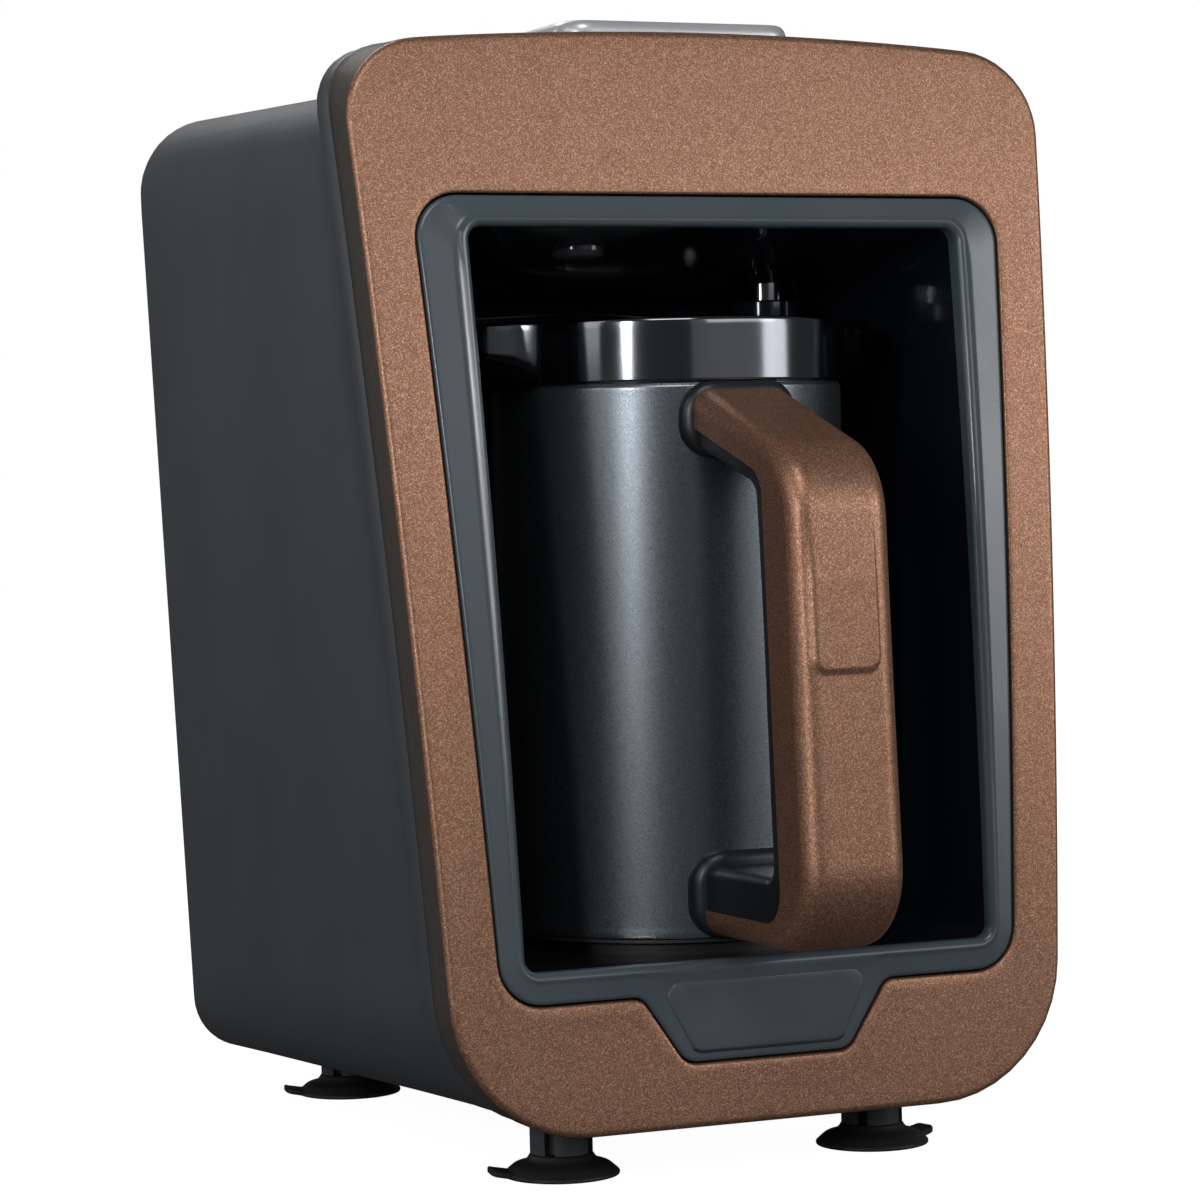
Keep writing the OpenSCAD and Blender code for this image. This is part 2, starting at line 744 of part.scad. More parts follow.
module dock_socket() {
    y0 = niche_back_y + liner_wall + 0.05;
    y1 = y0 + socket_depth;
    color([0.1, 0.1, 0.11])
    difference() {
        block(-socket_x - socket_wall, socket_x + socket_wall, y0, y1 + 2,
              socket_z0 - free_gap - socket_wall, socket_z0 + plug_h + free_gap + socket_wall);
        block(-socket_x, socket_x, y0 - 1, y1, socket_z0 - free_gap, socket_z0 + plug_h + free_gap);
        for (i = [-1 : 1])
            rod_y(pin_d / 2 + 0.02, i * pin_pitch, y0, y1 + 10, socket_z0 + plug_h / 2);
    }
}

// The pins start inside the plug and end in the wires' tabs behind the socket
module dock_pins() {
    pin_y0 = niche_back_y + 2;
    pin_y1 = niche_back_y + liner_wall + socket_depth + 7;
    color([0.8, 0.7, 0.4])
    for (i = [-1 : 1])
        rod_y(pin_d / 2, i * pin_pitch, pin_y0, pin_y1, socket_z0 + plug_h / 2);
}

module rim_sensor() {
    color([0.3, 0.31, 0.33])
    translate([sensor_x, sensor_y, sensor_low_z]) {
        cylinder(r = sensor_d / 2, h = light_board_z - sensor_low_z - 0.05);
        translate([0, 0, -1]) cylinder(r = sensor_d / 2 - 1.5, h = 2);
    }
}

module light_board() {
    color([0.1, 0.35, 0.2])
    block(-lens_x - lens_d / 2, sensor_x + sensor_d / 2, lens_y - lens_d / 2, sensor_y + sensor_d / 2,
          light_board_z, light_board_z + board_t);
}

module niche_light_lens() {
    low = ceiling_z(lens_y) - 1.6;
    color([0.75, 0.78, 0.8])
    translate([-lens_x, lens_y, low]) cylinder(r = lens_d / 2, h = light_board_z - 0.05 - low);
}

// ---- top deck ----
module control_plate() {
    color([0.78, 0.79, 0.8])
    difference() {
        translate([0, (plate_y0 + plate_y1) / 2, plate_z]) linear_extrude(plate_t)
            polygon(rounded([[-plate_w / 2, -plate_d / 2], [plate_w / 2, -plate_d / 2],
                             [plate_w / 2, plate_d / 2], [-plate_w / 2, plate_d / 2]], [7, 7, 7, 7]));
        translate([0, button_y, 0]) cylinder(r = well_r, h = far);
    }
}

module button_light_ring() {
    color([0.95, 0.95, 0.9])
    translate([0, button_y, 0])
        tube(button_d / 2 + ring_w, button_d / 2 + free_gap, well_floor_z, plate_z + plate_t + 0.3);
}

module power_button() {
    color([0.7, 0.71, 0.73])
    translate([0, button_y, 0]) {
        tube(button_d / 2, button_d / 2 - 1.6, cap_low_z, button_top_z - 1);
        translate([0, 0, button_top_z - 1.6]) cylinder(r = button_d / 2, h = 1.6);
        translate([0, 0, well_base_z - 1.4]) cylinder(r = stem_r, h = button_top_z - 1 - well_base_z + 1.4);
        translate([0, 0, well_base_z - 1.4]) cylinder(r = guide_r + 0.7, h = 1.2);
    }
}

// Coil spring between the well's floor and the button's cap
spring_r = stem_r + 1.2;
spring_low_z = well_floor_z + wire_d / 2 + 0.05;
spring_top_z = button_top_z - 1.6 - wire_d / 2 - 0.05;
coil_sides = 6;
coil_steps = 14;
coil_count = spring_turns * coil_steps;
function coil_ring(i) =
    let (a = 360 * i / coil_steps, z = spring_low_z + (spring_top_z - spring_low_z) * i / coil_count)
    [for (k = [0 : coil_sides - 1])
        let (b = 360 * k / coil_sides, r = spring_r + wire_d / 2 * cos(b))
        [r * cos(a), r * sin(a), z + wire_d / 2 * sin(b)]];

module button_spring() {
    points = [for (i = [0 : coil_count]) each coil_ring(i)];
    walls = [for (i = [0 : coil_count - 1], k = [0 : coil_sides - 1])
        [i * coil_sides + k, i * coil_sides + (k + 1) % coil_sides,
         (i + 1) * coil_sides + (k + 1) % coil_sides, (i + 1) * coil_sides + k]];
    first = [for (k = [coil_sides - 1 : -1 : 0]) k];
    last = [for (k = [0 : coil_sides - 1]) coil_count * coil_sides + k];
    color([0.7, 0.7, 0.72])
    translate([0, button_y, 0]) polyhedron(points, concat([first], walls, [last]));
}

switch_top_z = well_base_z - 1.4 - button_travel - 0.2;

module tact_switch() {
    color([0.12, 0.12, 0.13])
    translate([0, button_y, control_z + board_t]) {
        translate([-3, -3, 0]) cube([6, 6, (switch_top_z - control_z - board_t) * 0.6]);
        cylinder(r = 1.75, h = switch_top_z - control_z - board_t);
    }
}

module control_board() {
    color([0.1, 0.35, 0.2])
    block(-plate_w / 2 + 2, plate_w / 2 - 2, button_y - 8, button_y + 8, control_z, control_z + board_t);
}

// ---- base and feet ----
feet_places = [[-feet_x / 2, feet_y0], [feet_x / 2, feet_y0], [-feet_x / 2, feet_y1], [feet_x / 2, feet_y1]];
neck_r = post_d / 2 - 2.2;
post_low_z = cup_h + touch;
slot_w = 2.4;

base_slot_x = 8;
base_slot_y = [feet_y0 + 34, feet_y0 + 74];

module base_plate() {
    color([0.25, 0.26, 0.28])
    difference() {
        union() {
            intersection() {
                linear_extrude(floor_z(front_low_y) + 2) polygon(base_line(0));
                difference() {
                    body_form(0);
                    body_form(-wall);
                }
            }
            for (p = feet_places)
                translate([p[0], p[1], post_low_z])
                    cylinder(r = post_d / 2, h = underside_z(p[1]) + wall / 2 - post_low_z);
        }
        for (p = feet_places)
            translate([p[0], p[1], 0]) {
                translate([0, 0, post_low_z - 1])
                    cylinder(r = neck_r + fit / 2, h = underside_z(p[1]) - post_low_z + 1);
                for (i = [0 : post_slots - 1])
                    rotate([0, 0, 45 + 360 * i / post_slots])
                        translate([neck_r - 1, -slot_w / 2, post_low_z - 1])
                            cube([post_d, slot_w, underside_z(p[1]) - post_low_z]);
            }
        for (side = [-1, 1], y = case_boss_y)
            translate([side * case_boss_x, y, 0]) cylinder(r = screw_d / 2 + fit, h = case_boss_top_z);
        for (i = [-3 : 3])
            translate([i * base_slot_x, 0, 0])
                block(-vent_h / 2, vent_h / 2, base_slot_y[0], base_slot_y[1], 0, case_boss_top_z);
    }
}

// Suction cup with a hollow underside, a neck that plugs into the post and a pull tab
// The cups' pull tabs point out to the sides
tab_turn = 12;

module suction_cup(place, turn) {
    cup_r = cup_d / 2;
    neck_top_z = underside_z(place[1]) - 0.5;
    color([0.06, 0.06, 0.06])
    translate([place[0], place[1], 0]) {
        rotate_extrude()
            polygon([[0, 1.8], [cup_r * 0.45, 1.6], [cup_r - 1.6, 0], [cup_r, 0], [cup_r, 0.9], [cup_r * 0.8, 2.4],
                     [post_d / 2 + 0.4, cup_h - 1.2], [post_d / 2, cup_h], [neck_r, cup_h], [neck_r, neck_top_z - 1],
                     [neck_r - 1, neck_top_z], [0, neck_top_z]]);
        rotate([0, 0, turn]) translate([cup_r - 1.2, -3.5, 0]) cube([4.6, 7, 1.6]);
    }
}

module front_left_foot() {
    suction_cup(feet_places[0], 180 - tab_turn);
}

module front_right_foot() {
    suction_cup(feet_places[1], tab_turn);
}

module rear_left_foot() {
    suction_cup(feet_places[2], 180 - tab_turn);
}

module rear_right_foot() {
    suction_cup(feet_places[3], tab_turn);
}

// ---- screws ----
head_h = 1.9;

module case_screws() {
    color([0.6, 0.6, 0.62])
    for (side = [-1, 1], y = case_boss_y)
        translate([side * case_boss_x, y, underside_z(y) - head_h - fit]) {
            cylinder(r = screw_d, h = head_h);
            cylinder(r = screw_d / 2, h = case_boss_top_z - underside_z(y) - 2);
        }
}

module fascia_screws() {
    color([0.6, 0.6, 0.62])
    at_fascia_screws() {
        rod_back(screw_d / 2, wall + 2.4, ring_back + 1);
        rod_back(screw_d, ring_back + 0.4, ring_back + 0.4 + head_h);
    }
}

module panel_screws() {
    head_y = back_y - wall / 2 + touch;
    color([0.6, 0.6, 0.62])
    at_panel_screws() {
        rod_y(screw_d / 2, 0, back_y - wall - panel_boss_h + 2, head_y + 0.5, 0);
        rod_y(screw_d, 0, head_y, back_y - touch, 0);
    }
}

module board_screws() {
    color([0.6, 0.6, 0.62])
    for (side = [-1, 1], z = board_screw_z) {
        rod_y(screw_d / 2, side * board_screw_x, board_y0 - standoff + 1.5, board_y1 + 1, z);
        rod_y(screw_d * 0.9, side * board_screw_x, board_y1 + touch, board_y1 + touch + head_h, z);
    }
}

// ---- electronics on the main board ----
module main_board() {
    color([0.1, 0.35, 0.2])
    difference() {
        block(-board_w / 2, board_w / 2, board_y0, board_y1, board_z0, board_z1);
        for (side = [-1, 1], z = board_screw_z)
            rod_y(screw_d / 2 + fit, side * board_screw_x, board_y0 - 1, board_y1 + 1, z);
    }
}

// Parts on the board, each by its left edge or middle in X, its height on the board, and its size
transformer_x = -board_w / 2 + 12;
transformer_z = board_z0 + 12;
transformer_core = [28, 22, 28];
transformer_coil = [36, 28, 16];

module transformer() {
    edge = (transformer_coil[0] - transformer_core[0]) / 2;
    lift = (transformer_coil[1] - transformer_core[1]) / 2;
    color([0.75, 0.65, 0.25])
    translate([transformer_x + edge, board_y1 + lift, transformer_z]) cube(transformer_core);
    color([0.3, 0.3, 0.32])
    translate([transformer_x, board_y1, transformer_z + (transformer_core[2] - transformer_coil[2]) / 2])
        cube(transformer_coil);
}

parts_x = 10;
relay_size = [19, 15.5, 15];
relay_z = board_z0 + 15;
capacitor_r = 6;
capacitor_h = 22;
capacitor_z = board_z0 + 46;
fuse_base = [24, 4, 8];
fuse_r = 3;
fuse_z = board_z0 + 62;
buzzer_x = -22;
buzzer_z = board_z1 - 20;
buzzer_r = 7;
buzzer_h = 9;

module power_relay() {
    color([0.15, 0.3, 0.6]) translate([parts_x, board_y1, relay_z]) cube(relay_size);
}

module filter_capacitor() {
    color([0.15, 0.15, 0.2])
    rod_y(capacitor_r, parts_x + capacitor_r + 2, board_y1, board_y1 + capacitor_h, capacitor_z);
}

module fuse_holder() {
    color([0.85, 0.85, 0.8]) {
        translate([parts_x - 2, board_y1, fuse_z]) cube(fuse_base);
        translate([parts_x - 2, board_y1 + fuse_base[1] + fuse_r * 0.7, fuse_z + fuse_base[2] / 2])
            rotate([0, 90, 0]) cylinder(r = fuse_r, h = fuse_base[0]);
    }
}

module buzzer() {
    color([0.1, 0.1, 0.1])
    difference() {
        rod_y(buzzer_r, buzzer_x, board_y1, board_y1 + buzzer_h, buzzer_z);
        rod_y(buzzer_r / 4, buzzer_x, board_y1 + buzzer_h / 2, far, buzzer_z);
    }
}

terminal_pitch = 11;
terminal_y = back_y - 39;
terminal_size = [36, 14, 14];
terminal_low_z = floor_z(terminal_y);
terminal_hole_z = terminal_low_z + 7;
wire_r = 1.5;
wire_entry_z = board_z0 + 6;
wire_step = 5;

module terminal_block() {
    color([0.9, 0.9, 0.88])
    difference() {
        translate([gland_x - terminal_size[0] / 2, terminal_y - terminal_size[1] / 2, terminal_low_z])
            cube(terminal_size);
        for (i = [-1 : 1])
            translate([gland_x + i * terminal_pitch, terminal_y, terminal_hole_z])
                cylinder(r = wire_r + 0.7, h = far);
    }
}

// Straight runs of insulated wire, ending against what they join
module mains_wires() {
    wire_low_z = terminal_hole_z + 0.1;
    color([0.5, 0.25, 0.12])
    for (i = [-1 : 1]) {
        rise = wire_entry_z - wire_low_z + i * wire_step;
        translate([gland_x + i * terminal_pitch, terminal_y, wire_low_z]) {
            cylinder(r = wire_r, h = rise);
            translate([0, 0, rise]) sphere(r = wire_r);
            translate([0, 0, rise]) rotate([90, 0, 0]) cylinder(r = wire_r, h = terminal_y - board_y1 - touch);
        }
    }
}

module dock_wires() {
    dock_wire_r = wire_r * 0.8;
    wire_y = niche_back_y + liner_wall + socket_depth + 5.4;
    wire_low_z = socket_z0 + plug_h / 2 + pin_d / 2 + touch;
    wire_top_z = board_z0 + 4;
    color([0.6, 0.1, 0.1])
    for (i = [-1 : 1]) {
        translate([i * pin_pitch, wire_y, wire_low_z]) cylinder(r = dock_wire_r, h = wire_top_z - wire_low_z);
        translate([i * pin_pitch, wire_y, wire_top_z]) sphere(r = dock_wire_r);
        rod_y(dock_wire_r, i * pin_pitch, board_y1 + touch, wire_y, wire_top_z);
    }
}

gland_length = 14;
gland_rim = 2.5;
clamp_y = back_y - 22;
clamp_size = [22, 8];

module cord_gland() {
    color([0.08, 0.08, 0.09])
    difference() {
        union() {
            rod_y(gland_d / 2, gland_x, back_y - gland_length, back_y, gland_z);
            rod_y(gland_d / 2 + gland_rim, gland_x, back_y - wall - 3, back_y - wall - 0.1, gland_z);
        }
        rod_y(cord_bore / 2, gland_x, back_y - gland_length - 1, back_y + 1, gland_z);
    }
}

module cord_clamp() {
    half = clamp_size[0] / 2;
    deep = clamp_size[1] / 2;
    color([0.85, 0.85, 0.83])
    difference() {
        block(gland_x - half, gland_x + half, clamp_y - deep, clamp_y + deep,
              floor_z(clamp_y), gland_z + cord_bore / 2 + wall);
        rod_y(cord_bore / 2, gland_x, clamp_y - deep - 1, clamp_y + deep + 1, gland_z);
    }
}

// ---- the pot ----
module pot_shell() {
    color([0.2, 0.21, 0.23])
    at_pot() difference() {
        rotate_extrude()
            polygon([[pot_low_r - shell_t, pot_z + 0.8], [pot_low_r - 0.4, pot_z + 0.8], [pot_low_r, pot_z + 1.4],
                     [pot_top_r, band_z - 0.05], [pot_top_r - shell_t, band_z - 0.05]]);
        block(-plug_w / 2 - fit, plug_w / 2 + fit, 0, far, socket_z0 - fit, socket_z0 + plug_h + fit);
        for (z = handle_screw_z)
            rod_y(handle_screw_d / 2 + fit, 0, -far, 0, z);
    }
}

module pot_vessel() {
    z1 = band_z + seat_h - seal_t;
    corner = 6;
    color([0.75, 0.76, 0.77])
    at_pot() difference() {
        union() {
            translate([0, 0, vessel_z + corner]) cylinder(r = vessel_r, h = z1 - vessel_z - corner);
            translate([0, 0, vessel_z]) rotate_extrude() {
                square([vessel_r - corner, corner + 1]);
                intersection() {
                    translate([vessel_r - corner, corner]) circle(r = corner);
                    square([vessel_r, corner + 1]);
                }
            }
        }
        translate([0, 0, vessel_z + corner]) cylinder(r = vessel_r - vessel_t, h = far);
        translate([0, 0, vessel_z + vessel_t]) rotate_extrude() {
            square([vessel_r - corner, corner + 1]);
            intersection() {
                translate([vessel_r - corner, corner]) circle(r = corner - vessel_t);
                square([vessel_r, corner + 1]);
            }
        }
    }
}

seat_h = 3;
seal_t = 1;
spout_r = 15;

// A cone that stands on its narrow end and makes a spout's lip
module spout_cone(side, shrink) {
    low_z = band_z - 6 + shrink * 1.5;
    translate([side * (band_r + spout_reach - spout_r), 0, low_z])
        cylinder(r1 = 2, r2 = spout_r - shrink, h = rim_z - low_z + 0.01);
}

module pot_rim_band() {
    bore_r = vessel_r - vessel_t;
    seat_r = vessel_r + fit / 2;
    spout_wall = 1.6;
    color([0.08, 0.08, 0.09])
    at_pot() difference() {
        union() {
            translate([0, 0, band_z]) cylinder(r = band_r, h = band_h);
            intersection() {
                for (side = [-1, 1])
                    spout_cone(side, 0);
                translate([0, 0, band_z + 0.6]) cylinder(r = 2 * band_r, h = band_h - 0.6);
            }
        }
        translate([0, 0, band_z - 1]) cylinder(r = seat_r, h = seat_h + 1);
        translate([0, 0, band_z]) cylinder(r = bore_r, h = band_h + 1);
        intersection() {
            for (side = [-1, 1])
                spout_cone(side, spout_wall);
            translate([0, 0, band_z + 4.2]) cylinder(r = 2 * band_r, h = band_h + 10);
        }
        translate([0, 0, rim_z]) cylinder(r = 2 * band_r, h = far);
    }
}

module pot_seal() {
    color([0.75, 0.75, 0.72])
    at_pot() tube(vessel_r + touch, vessel_r - vessel_t + touch,
                  band_z + seat_h - seal_t + touch, band_z + seat_h - touch);
}

cover_t_z = 2.4;
cover_skirt_h = 9;
cover_skirt_t = 2;
cover_lip_h = 0.7;
cover_notch = 12;

module pot_base_cover() {
    cover_r = pot_low_r - shell_t - free_gap;
    color([0.08, 0.08, 0.09])
    at_pot() difference() {
        union() {
            translate([0, 0, pot_z]) cylinder(r = cover_r, h = cover_t_z);
            translate([0, 0, pot_z]) cylinder(r = pot_low_r - free_gap, h = cover_lip_h);
            tube(cover_r, cover_r - cover_skirt_t, pot_z, pot_z + cover_skirt_h);
        }
        block(-plug_w / 2 - fit, plug_w / 2 + fit, 0, far, socket_z0 - fit, socket_z0 + plug_h + fit);
        block(-cover_notch / 2, cover_notch / 2, -far, 0, pot_z + cover_t_z + 2, far);
    }
}

spreader_t = 3;
spreader_low_z = vessel_z - spreader_t - touch;
element_r = 2.6;
element_ring_r = 20;
thermostat_r = 8;
thermostat_h = 7;

module heat_spreader() {
    color([0.7, 0.71, 0.72])
    at_pot() translate([0, 0, spreader_low_z]) cylinder(r = vessel_r - 7, h = spreader_t);
}

// A closed ring of sheathed element under the spreader
module heating_element() {
    color([0.45, 0.42, 0.4])
    at_pot() translate([0, 0, spreader_low_z - touch - element_r])
        rotate_extrude() translate([element_ring_r, 0]) circle(r = element_r);
}

module pot_thermostat() {
    tab = [3, 0.8, 3.5];
    color([0.85, 0.83, 0.78])
    at_pot() translate([0, 0, spreader_low_z - touch - thermostat_h]) {
        cylinder(r = thermostat_r, h = thermostat_h);
        for (side = [-1, 1])
            translate([side * thermostat_r / 2 - tab[0] / 2, -tab[1] / 2, 0.5 - tab[2]]) cube(tab);
    }
}

module pot_plug() {
    plug_inside = 12;
    y_end = niche_back_y + liner_wall + plug_reach;
    color([0.12, 0.12, 0.13])
    difference() {
        block(-plug_w / 2, plug_w / 2, pot_y + pot_low_r - plug_inside, y_end, socket_z0, socket_z0 + plug_h);
        for (i = [-1 : 1])
            rod_y(pin_d / 2 + free_gap, i * pin_pitch, niche_back_y + 1, far, socket_z0 + plug_h / 2);
    }
}

// ---- the handle ----
handle_top_z = band_z - handle_root_drop;
handle_low_z = pot_z + handle_low;
handle_root_y = pot_y - pot_low_r + 6;
grip_top_y = handle_y + handle_lean;
grip_angle = atan(handle_lean / (handle_top_z - handle_fall - handle_low_z));
corner_y = handle_y - handle_r * (tan(grip_angle) + 1 / cos(grip_angle) - 1);
core_root_z = [handle_top_z - arm_t * 1.15, handle_low_z + arm_t * 0.75];
slope = handle_fall / (handle_root_y - grip_top_y);
root_gap_r = pot_top_r + fit;
handle_screw_d = 2.4;
handle_screw_depth = 3.4;
handle_screw_y = pot_y - pot_top_r - handle_screw_depth;
handle_screw_z = [core_root_z[0] - core_t / 2 - slope * (handle_root_y + 1 - handle_screw_y - handle_screw_depth / 2),
                  (core_root_z[1] + handle_low_z + low_arm_h) / 2];

// Side views, in Y and Z: the outer face, the joint between cover and core, and the core's inner face
outer_side = rounded(
    [[handle_root_y, handle_low_z], [handle_root_y, handle_top_z],
     [grip_top_y, handle_top_z - handle_fall], [corner_y, handle_low_z]],
    [0, 0, handle_r, handle_r]);
joint_side = rounded(
    [[handle_root_y + 1, core_root_z[1]], [handle_root_y + 1, core_root_z[0]],
     [grip_top_y + cover_t, handle_top_z - arm_t - handle_fall + slope * cover_t * 0.8],
     [handle_y + cover_t, core_root_z[1]]],
    [0, 0, 7, 7]);
inner_side = rounded(
    [[handle_root_y + 2, handle_low_z + low_arm_h], [handle_root_y + 2, core_root_z[0] - core_t],
     [grip_top_y + cover_t + core_t, handle_top_z - arm_t - core_t - handle_fall + slope * (cover_t + core_t)],
     [handle_y + cover_t + core_t, handle_low_z + low_arm_h]],
    [0, 0, 5, 4]);

module clear_of_pot() {
    difference() {
        children();
        at_pot() cylinder(r = root_gap_r, h = far);
    }
}

module handle_cover() {
    color([0.62, 0.36, 0.24])
    clear_of_pot() {
        difference() {
            across_x(handle_w) polygon(outer_side);
            across_x(handle_w + 2) polygon(joint_side);
        }
        // raised pad on the grip
        intersection() {
            across_x(grip_pad_w) polygon([for (p = outer_side) p - [0.5, 0]]);
            block(-far, far, -far, grip_top_y + 6,
                  handle_top_z - handle_fall - 8 - grip_pad_h, handle_top_z - handle_fall - 8);
        }
    }
}

module handle_core() {
    color([0.05, 0.05, 0.06])
    difference() {
        clear_of_pot() {
            difference() {
                across_x(handle_w - 2) polygon(joint_side);
                across_x(handle_w + 2) polygon(inner_side);
            }
        }
        for (z = handle_screw_z)
            rod_y(handle_screw_d / 2 + touch, 0, handle_screw_y - fit, far, z);
    }
}

module handle_screws() {
    head_y = pot_y - pot_low_r + shell_t;
    color([0.6, 0.6, 0.62])
    for (z = handle_screw_z) {
        rod_y(handle_screw_d / 2, 0, handle_screw_y, head_y + fit, z);
        rod_y(handle_screw_d * 0.75, 0, head_y + fit / 2, head_y + 2.5 * fit, z);
    }
}

rear_housing();
rear_panel();
base_plate();
front_fascia();
bezel_frame();
niche_liner();
badge_plate();
front_left_foot();
front_right_foot();
rear_left_foot();
rear_right_foot();
case_screws();
fascia_screws();
panel_screws();
board_screws();
control_plate();
button_light_ring();
button_spring();
tact_switch();
control_board();
main_board();
transformer();
power_relay();
filter_capacitor();
fuse_holder();
buzzer();
terminal_block();
mains_wires();
dock_wires();
cord_gland();
cord_clamp();
rim_sensor();
light_board();
niche_light_lens();
dock_pad();
dock_socket();
dock_pins();
power_button();
pot_shell();
pot_vessel();
pot_rim_band();
pot_seal();
pot_base_cover();
heating_element();
heat_spreader();
pot_thermostat();
pot_plug();
handle_cover();
handle_core();
handle_screws();
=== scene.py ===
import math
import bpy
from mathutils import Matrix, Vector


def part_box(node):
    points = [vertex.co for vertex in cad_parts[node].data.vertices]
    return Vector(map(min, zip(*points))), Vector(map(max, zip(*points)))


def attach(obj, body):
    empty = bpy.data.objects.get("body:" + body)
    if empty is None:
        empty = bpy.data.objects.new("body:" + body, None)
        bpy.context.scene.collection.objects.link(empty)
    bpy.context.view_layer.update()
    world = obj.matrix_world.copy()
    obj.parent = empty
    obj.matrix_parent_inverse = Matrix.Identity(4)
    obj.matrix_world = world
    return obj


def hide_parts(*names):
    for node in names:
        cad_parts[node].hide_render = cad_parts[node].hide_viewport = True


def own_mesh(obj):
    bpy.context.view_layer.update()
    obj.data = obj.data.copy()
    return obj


bl_info = {
    "name": "Electric Coffee Maker",
    "version": (1, 0, 0),
    "blender": (4, 5, 0),
    "location": "View3D > Sidebar > Coffee Maker",
    "description": "Dresses the packed solids of an electric Turkish coffee maker",
    "category": "Object",
}

import bmesh
import bpy
import numpy as np
from mathutils import Matrix, Vector

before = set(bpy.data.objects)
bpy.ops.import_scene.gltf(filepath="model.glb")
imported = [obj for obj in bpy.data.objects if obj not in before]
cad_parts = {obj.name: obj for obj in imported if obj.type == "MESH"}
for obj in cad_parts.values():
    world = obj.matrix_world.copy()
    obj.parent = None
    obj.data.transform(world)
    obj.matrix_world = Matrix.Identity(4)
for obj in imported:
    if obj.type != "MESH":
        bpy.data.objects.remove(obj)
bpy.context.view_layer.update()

# Lengths in this file are millimetres until a mesh is made.
MM = 0.001


def span(node):
    """Lowest and highest corner of a solid, in millimetres."""
    low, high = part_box(node)
    return np.array(low) / MM, np.array(high) / MM


def middle(node, axis):
    """Middle of a solid along one axis, in millimetres."""
    low, high = span(node)
    return float(low[axis] + high[axis]) / 2


def round_solid(node):
    """X, Y and radius of an upright round solid, and its lowest and highest Z."""
    low, high = span(node)
    return middle(node, 0), middle(node, 1), (high[0] - low[0]) / 2, low[2], high[2]


# ---- measures shared with the solids ----
FRONT_R = 1800.0  # radius of the bowed front
FRONT_LEAN = math.radians(6.0)
FASCIA_LOW, FASCIA_TOP = 12.0, 246.0
FASCIA_LOW_HALF, FASCIA_TOP_HALF = 70.7, 83.5
SIDE_DEPTH = 10.0  # depth of the fascia's side band
WALL = 2.4  # thickness of the fascia and of the housing's skin
BACK_Y = float(span("rear_housing")[1][1])
BODY_DEPTH = 181.5  # from the foot of the bowed front to the back
FRONT_LOW_Y = BACK_Y - BODY_DEPTH
AXIS_Z = (FASCIA_LOW + FASCIA_TOP) / 2 - FRONT_R * math.sin(FRONT_LEAN)
AXIS_Y = FRONT_LOW_Y + math.sqrt(FRONT_R**2 - (FASCIA_LOW - AXIS_Z) ** 2)
MOUTH_LOW, MOUTH_TOP = 47.2, 203.2
POT_Y = middle("dock_pad", 1)
RIM_Z = float(span("pot_rim_band")[1][2])
BAND_Z = float(span("pot_rim_band")[0][2])
POT_Z = float(span("pot_base_cover")[0][2])
BUTTON_Y = middle("power_button", 1)
HANDLE_Y = float(span("handle_cover")[0][1])


# ---- outlines, as arrays of points in the X-Z plane ----
def front_y(z):
    """Y of the bowed front: a circle about an axis along X, solved for Y at a height."""
    return AXIS_Y - np.sqrt(FRONT_R**2 - (np.asarray(z) - AXIS_Z) ** 2)


def rounded(corners, radii, steps=10):
    """A closed outline through the corners, each rounded by its own radius.

    The arc's centre stands on the corner's bisector at radius / sin(half angle), and the
    points between its two ends are turned evenly from one end's spoke to the other's."""
    p = np.asarray(corners, float)
    r = np.asarray(radii, float)[:, None]
    u = np.roll(p, 1, 0) - p
    v = np.roll(p, -1, 0) - p
    u /= np.linalg.norm(u, axis=1, keepdims=True)
    v /= np.linalg.norm(v, axis=1, keepdims=True)
    half = np.arccos(np.clip((u * v).sum(1, keepdims=True), -1, 1)) / 2
    bisector = u + v
    bisector /= np.maximum(np.linalg.norm(bisector, axis=1, keepdims=True), 1e-9)
    centre = p + bisector * r / np.sin(half)
    first = p + u * r / np.tan(half) - centre
    last = p + v * r / np.tan(half) - centre
    turn = np.maximum(math.pi - 2 * half, 1e-6)[:, :, None]
    t = np.linspace(0, 1, steps + 1)[None, :, None]
    spokes = np.sin((1 - t) * turn) * first[:, None] + np.sin(t * turn) * last[:, None]
    points = (centre[:, None] + spokes / np.sin(turn)).reshape(-1, 2)
    keep = np.linalg.norm(points - np.roll(points, 1, 0), axis=1) > 1e-4
    return points[keep]


def trapezoid(z0, half0, z1, half1, r0, r1):
    """A trapezoid that stands on its lower edge, with rounded corners."""
    return rounded([[-half0, z0], [half0, z0], [half1, z1], [-half1, z1]], [r0, r0, r1, r1])


def rectangle(low, high, r, steps=10):
    """A rectangle with rounded corners, between its lowest and its highest corner."""
    return rounded([low[:2], [high[0], low[1]], high[:2], [low[0], high[1]]], [r] * 4, steps)


def crowned(z0, half0, z1, half1, drop, r0, r1):
    """A trapezoid whose upper edge is a parabola that falls by drop to its corners."""
    x = np.linspace(1, -1, 17) * (half1 - 1.25 * r1)
    crown = np.stack([x, z1 - drop * (x / half1) ** 2], 1)
    ends = [[-half0, z0], [half0, z0], [half1, z1 - drop]]
    corners = np.concatenate([ends, crown, [[-half1, z1 - drop]]])
    return rounded(corners, [r0, r0, r1] + [0] * len(crown) + [r1])


def grow(outline, g):
    """Moves each point along the outline's outward normal, the turned chord of its neighbours."""
    chord = np.roll(outline, -1, 0) - np.roll(outline, 1, 0)
    normal = np.stack([chord[:, 1], -chord[:, 0]], 1)
    normal /= np.linalg.norm(normal, axis=1, keepdims=True)
    return outline + normal * g


def angles_of(outline, centre):
    """Polar angle of each point about the centre, rising all the way round."""
    d = outline - np.asarray(centre)
    return np.unwrap(np.arctan2(d[:, 1], d[:, 0]))


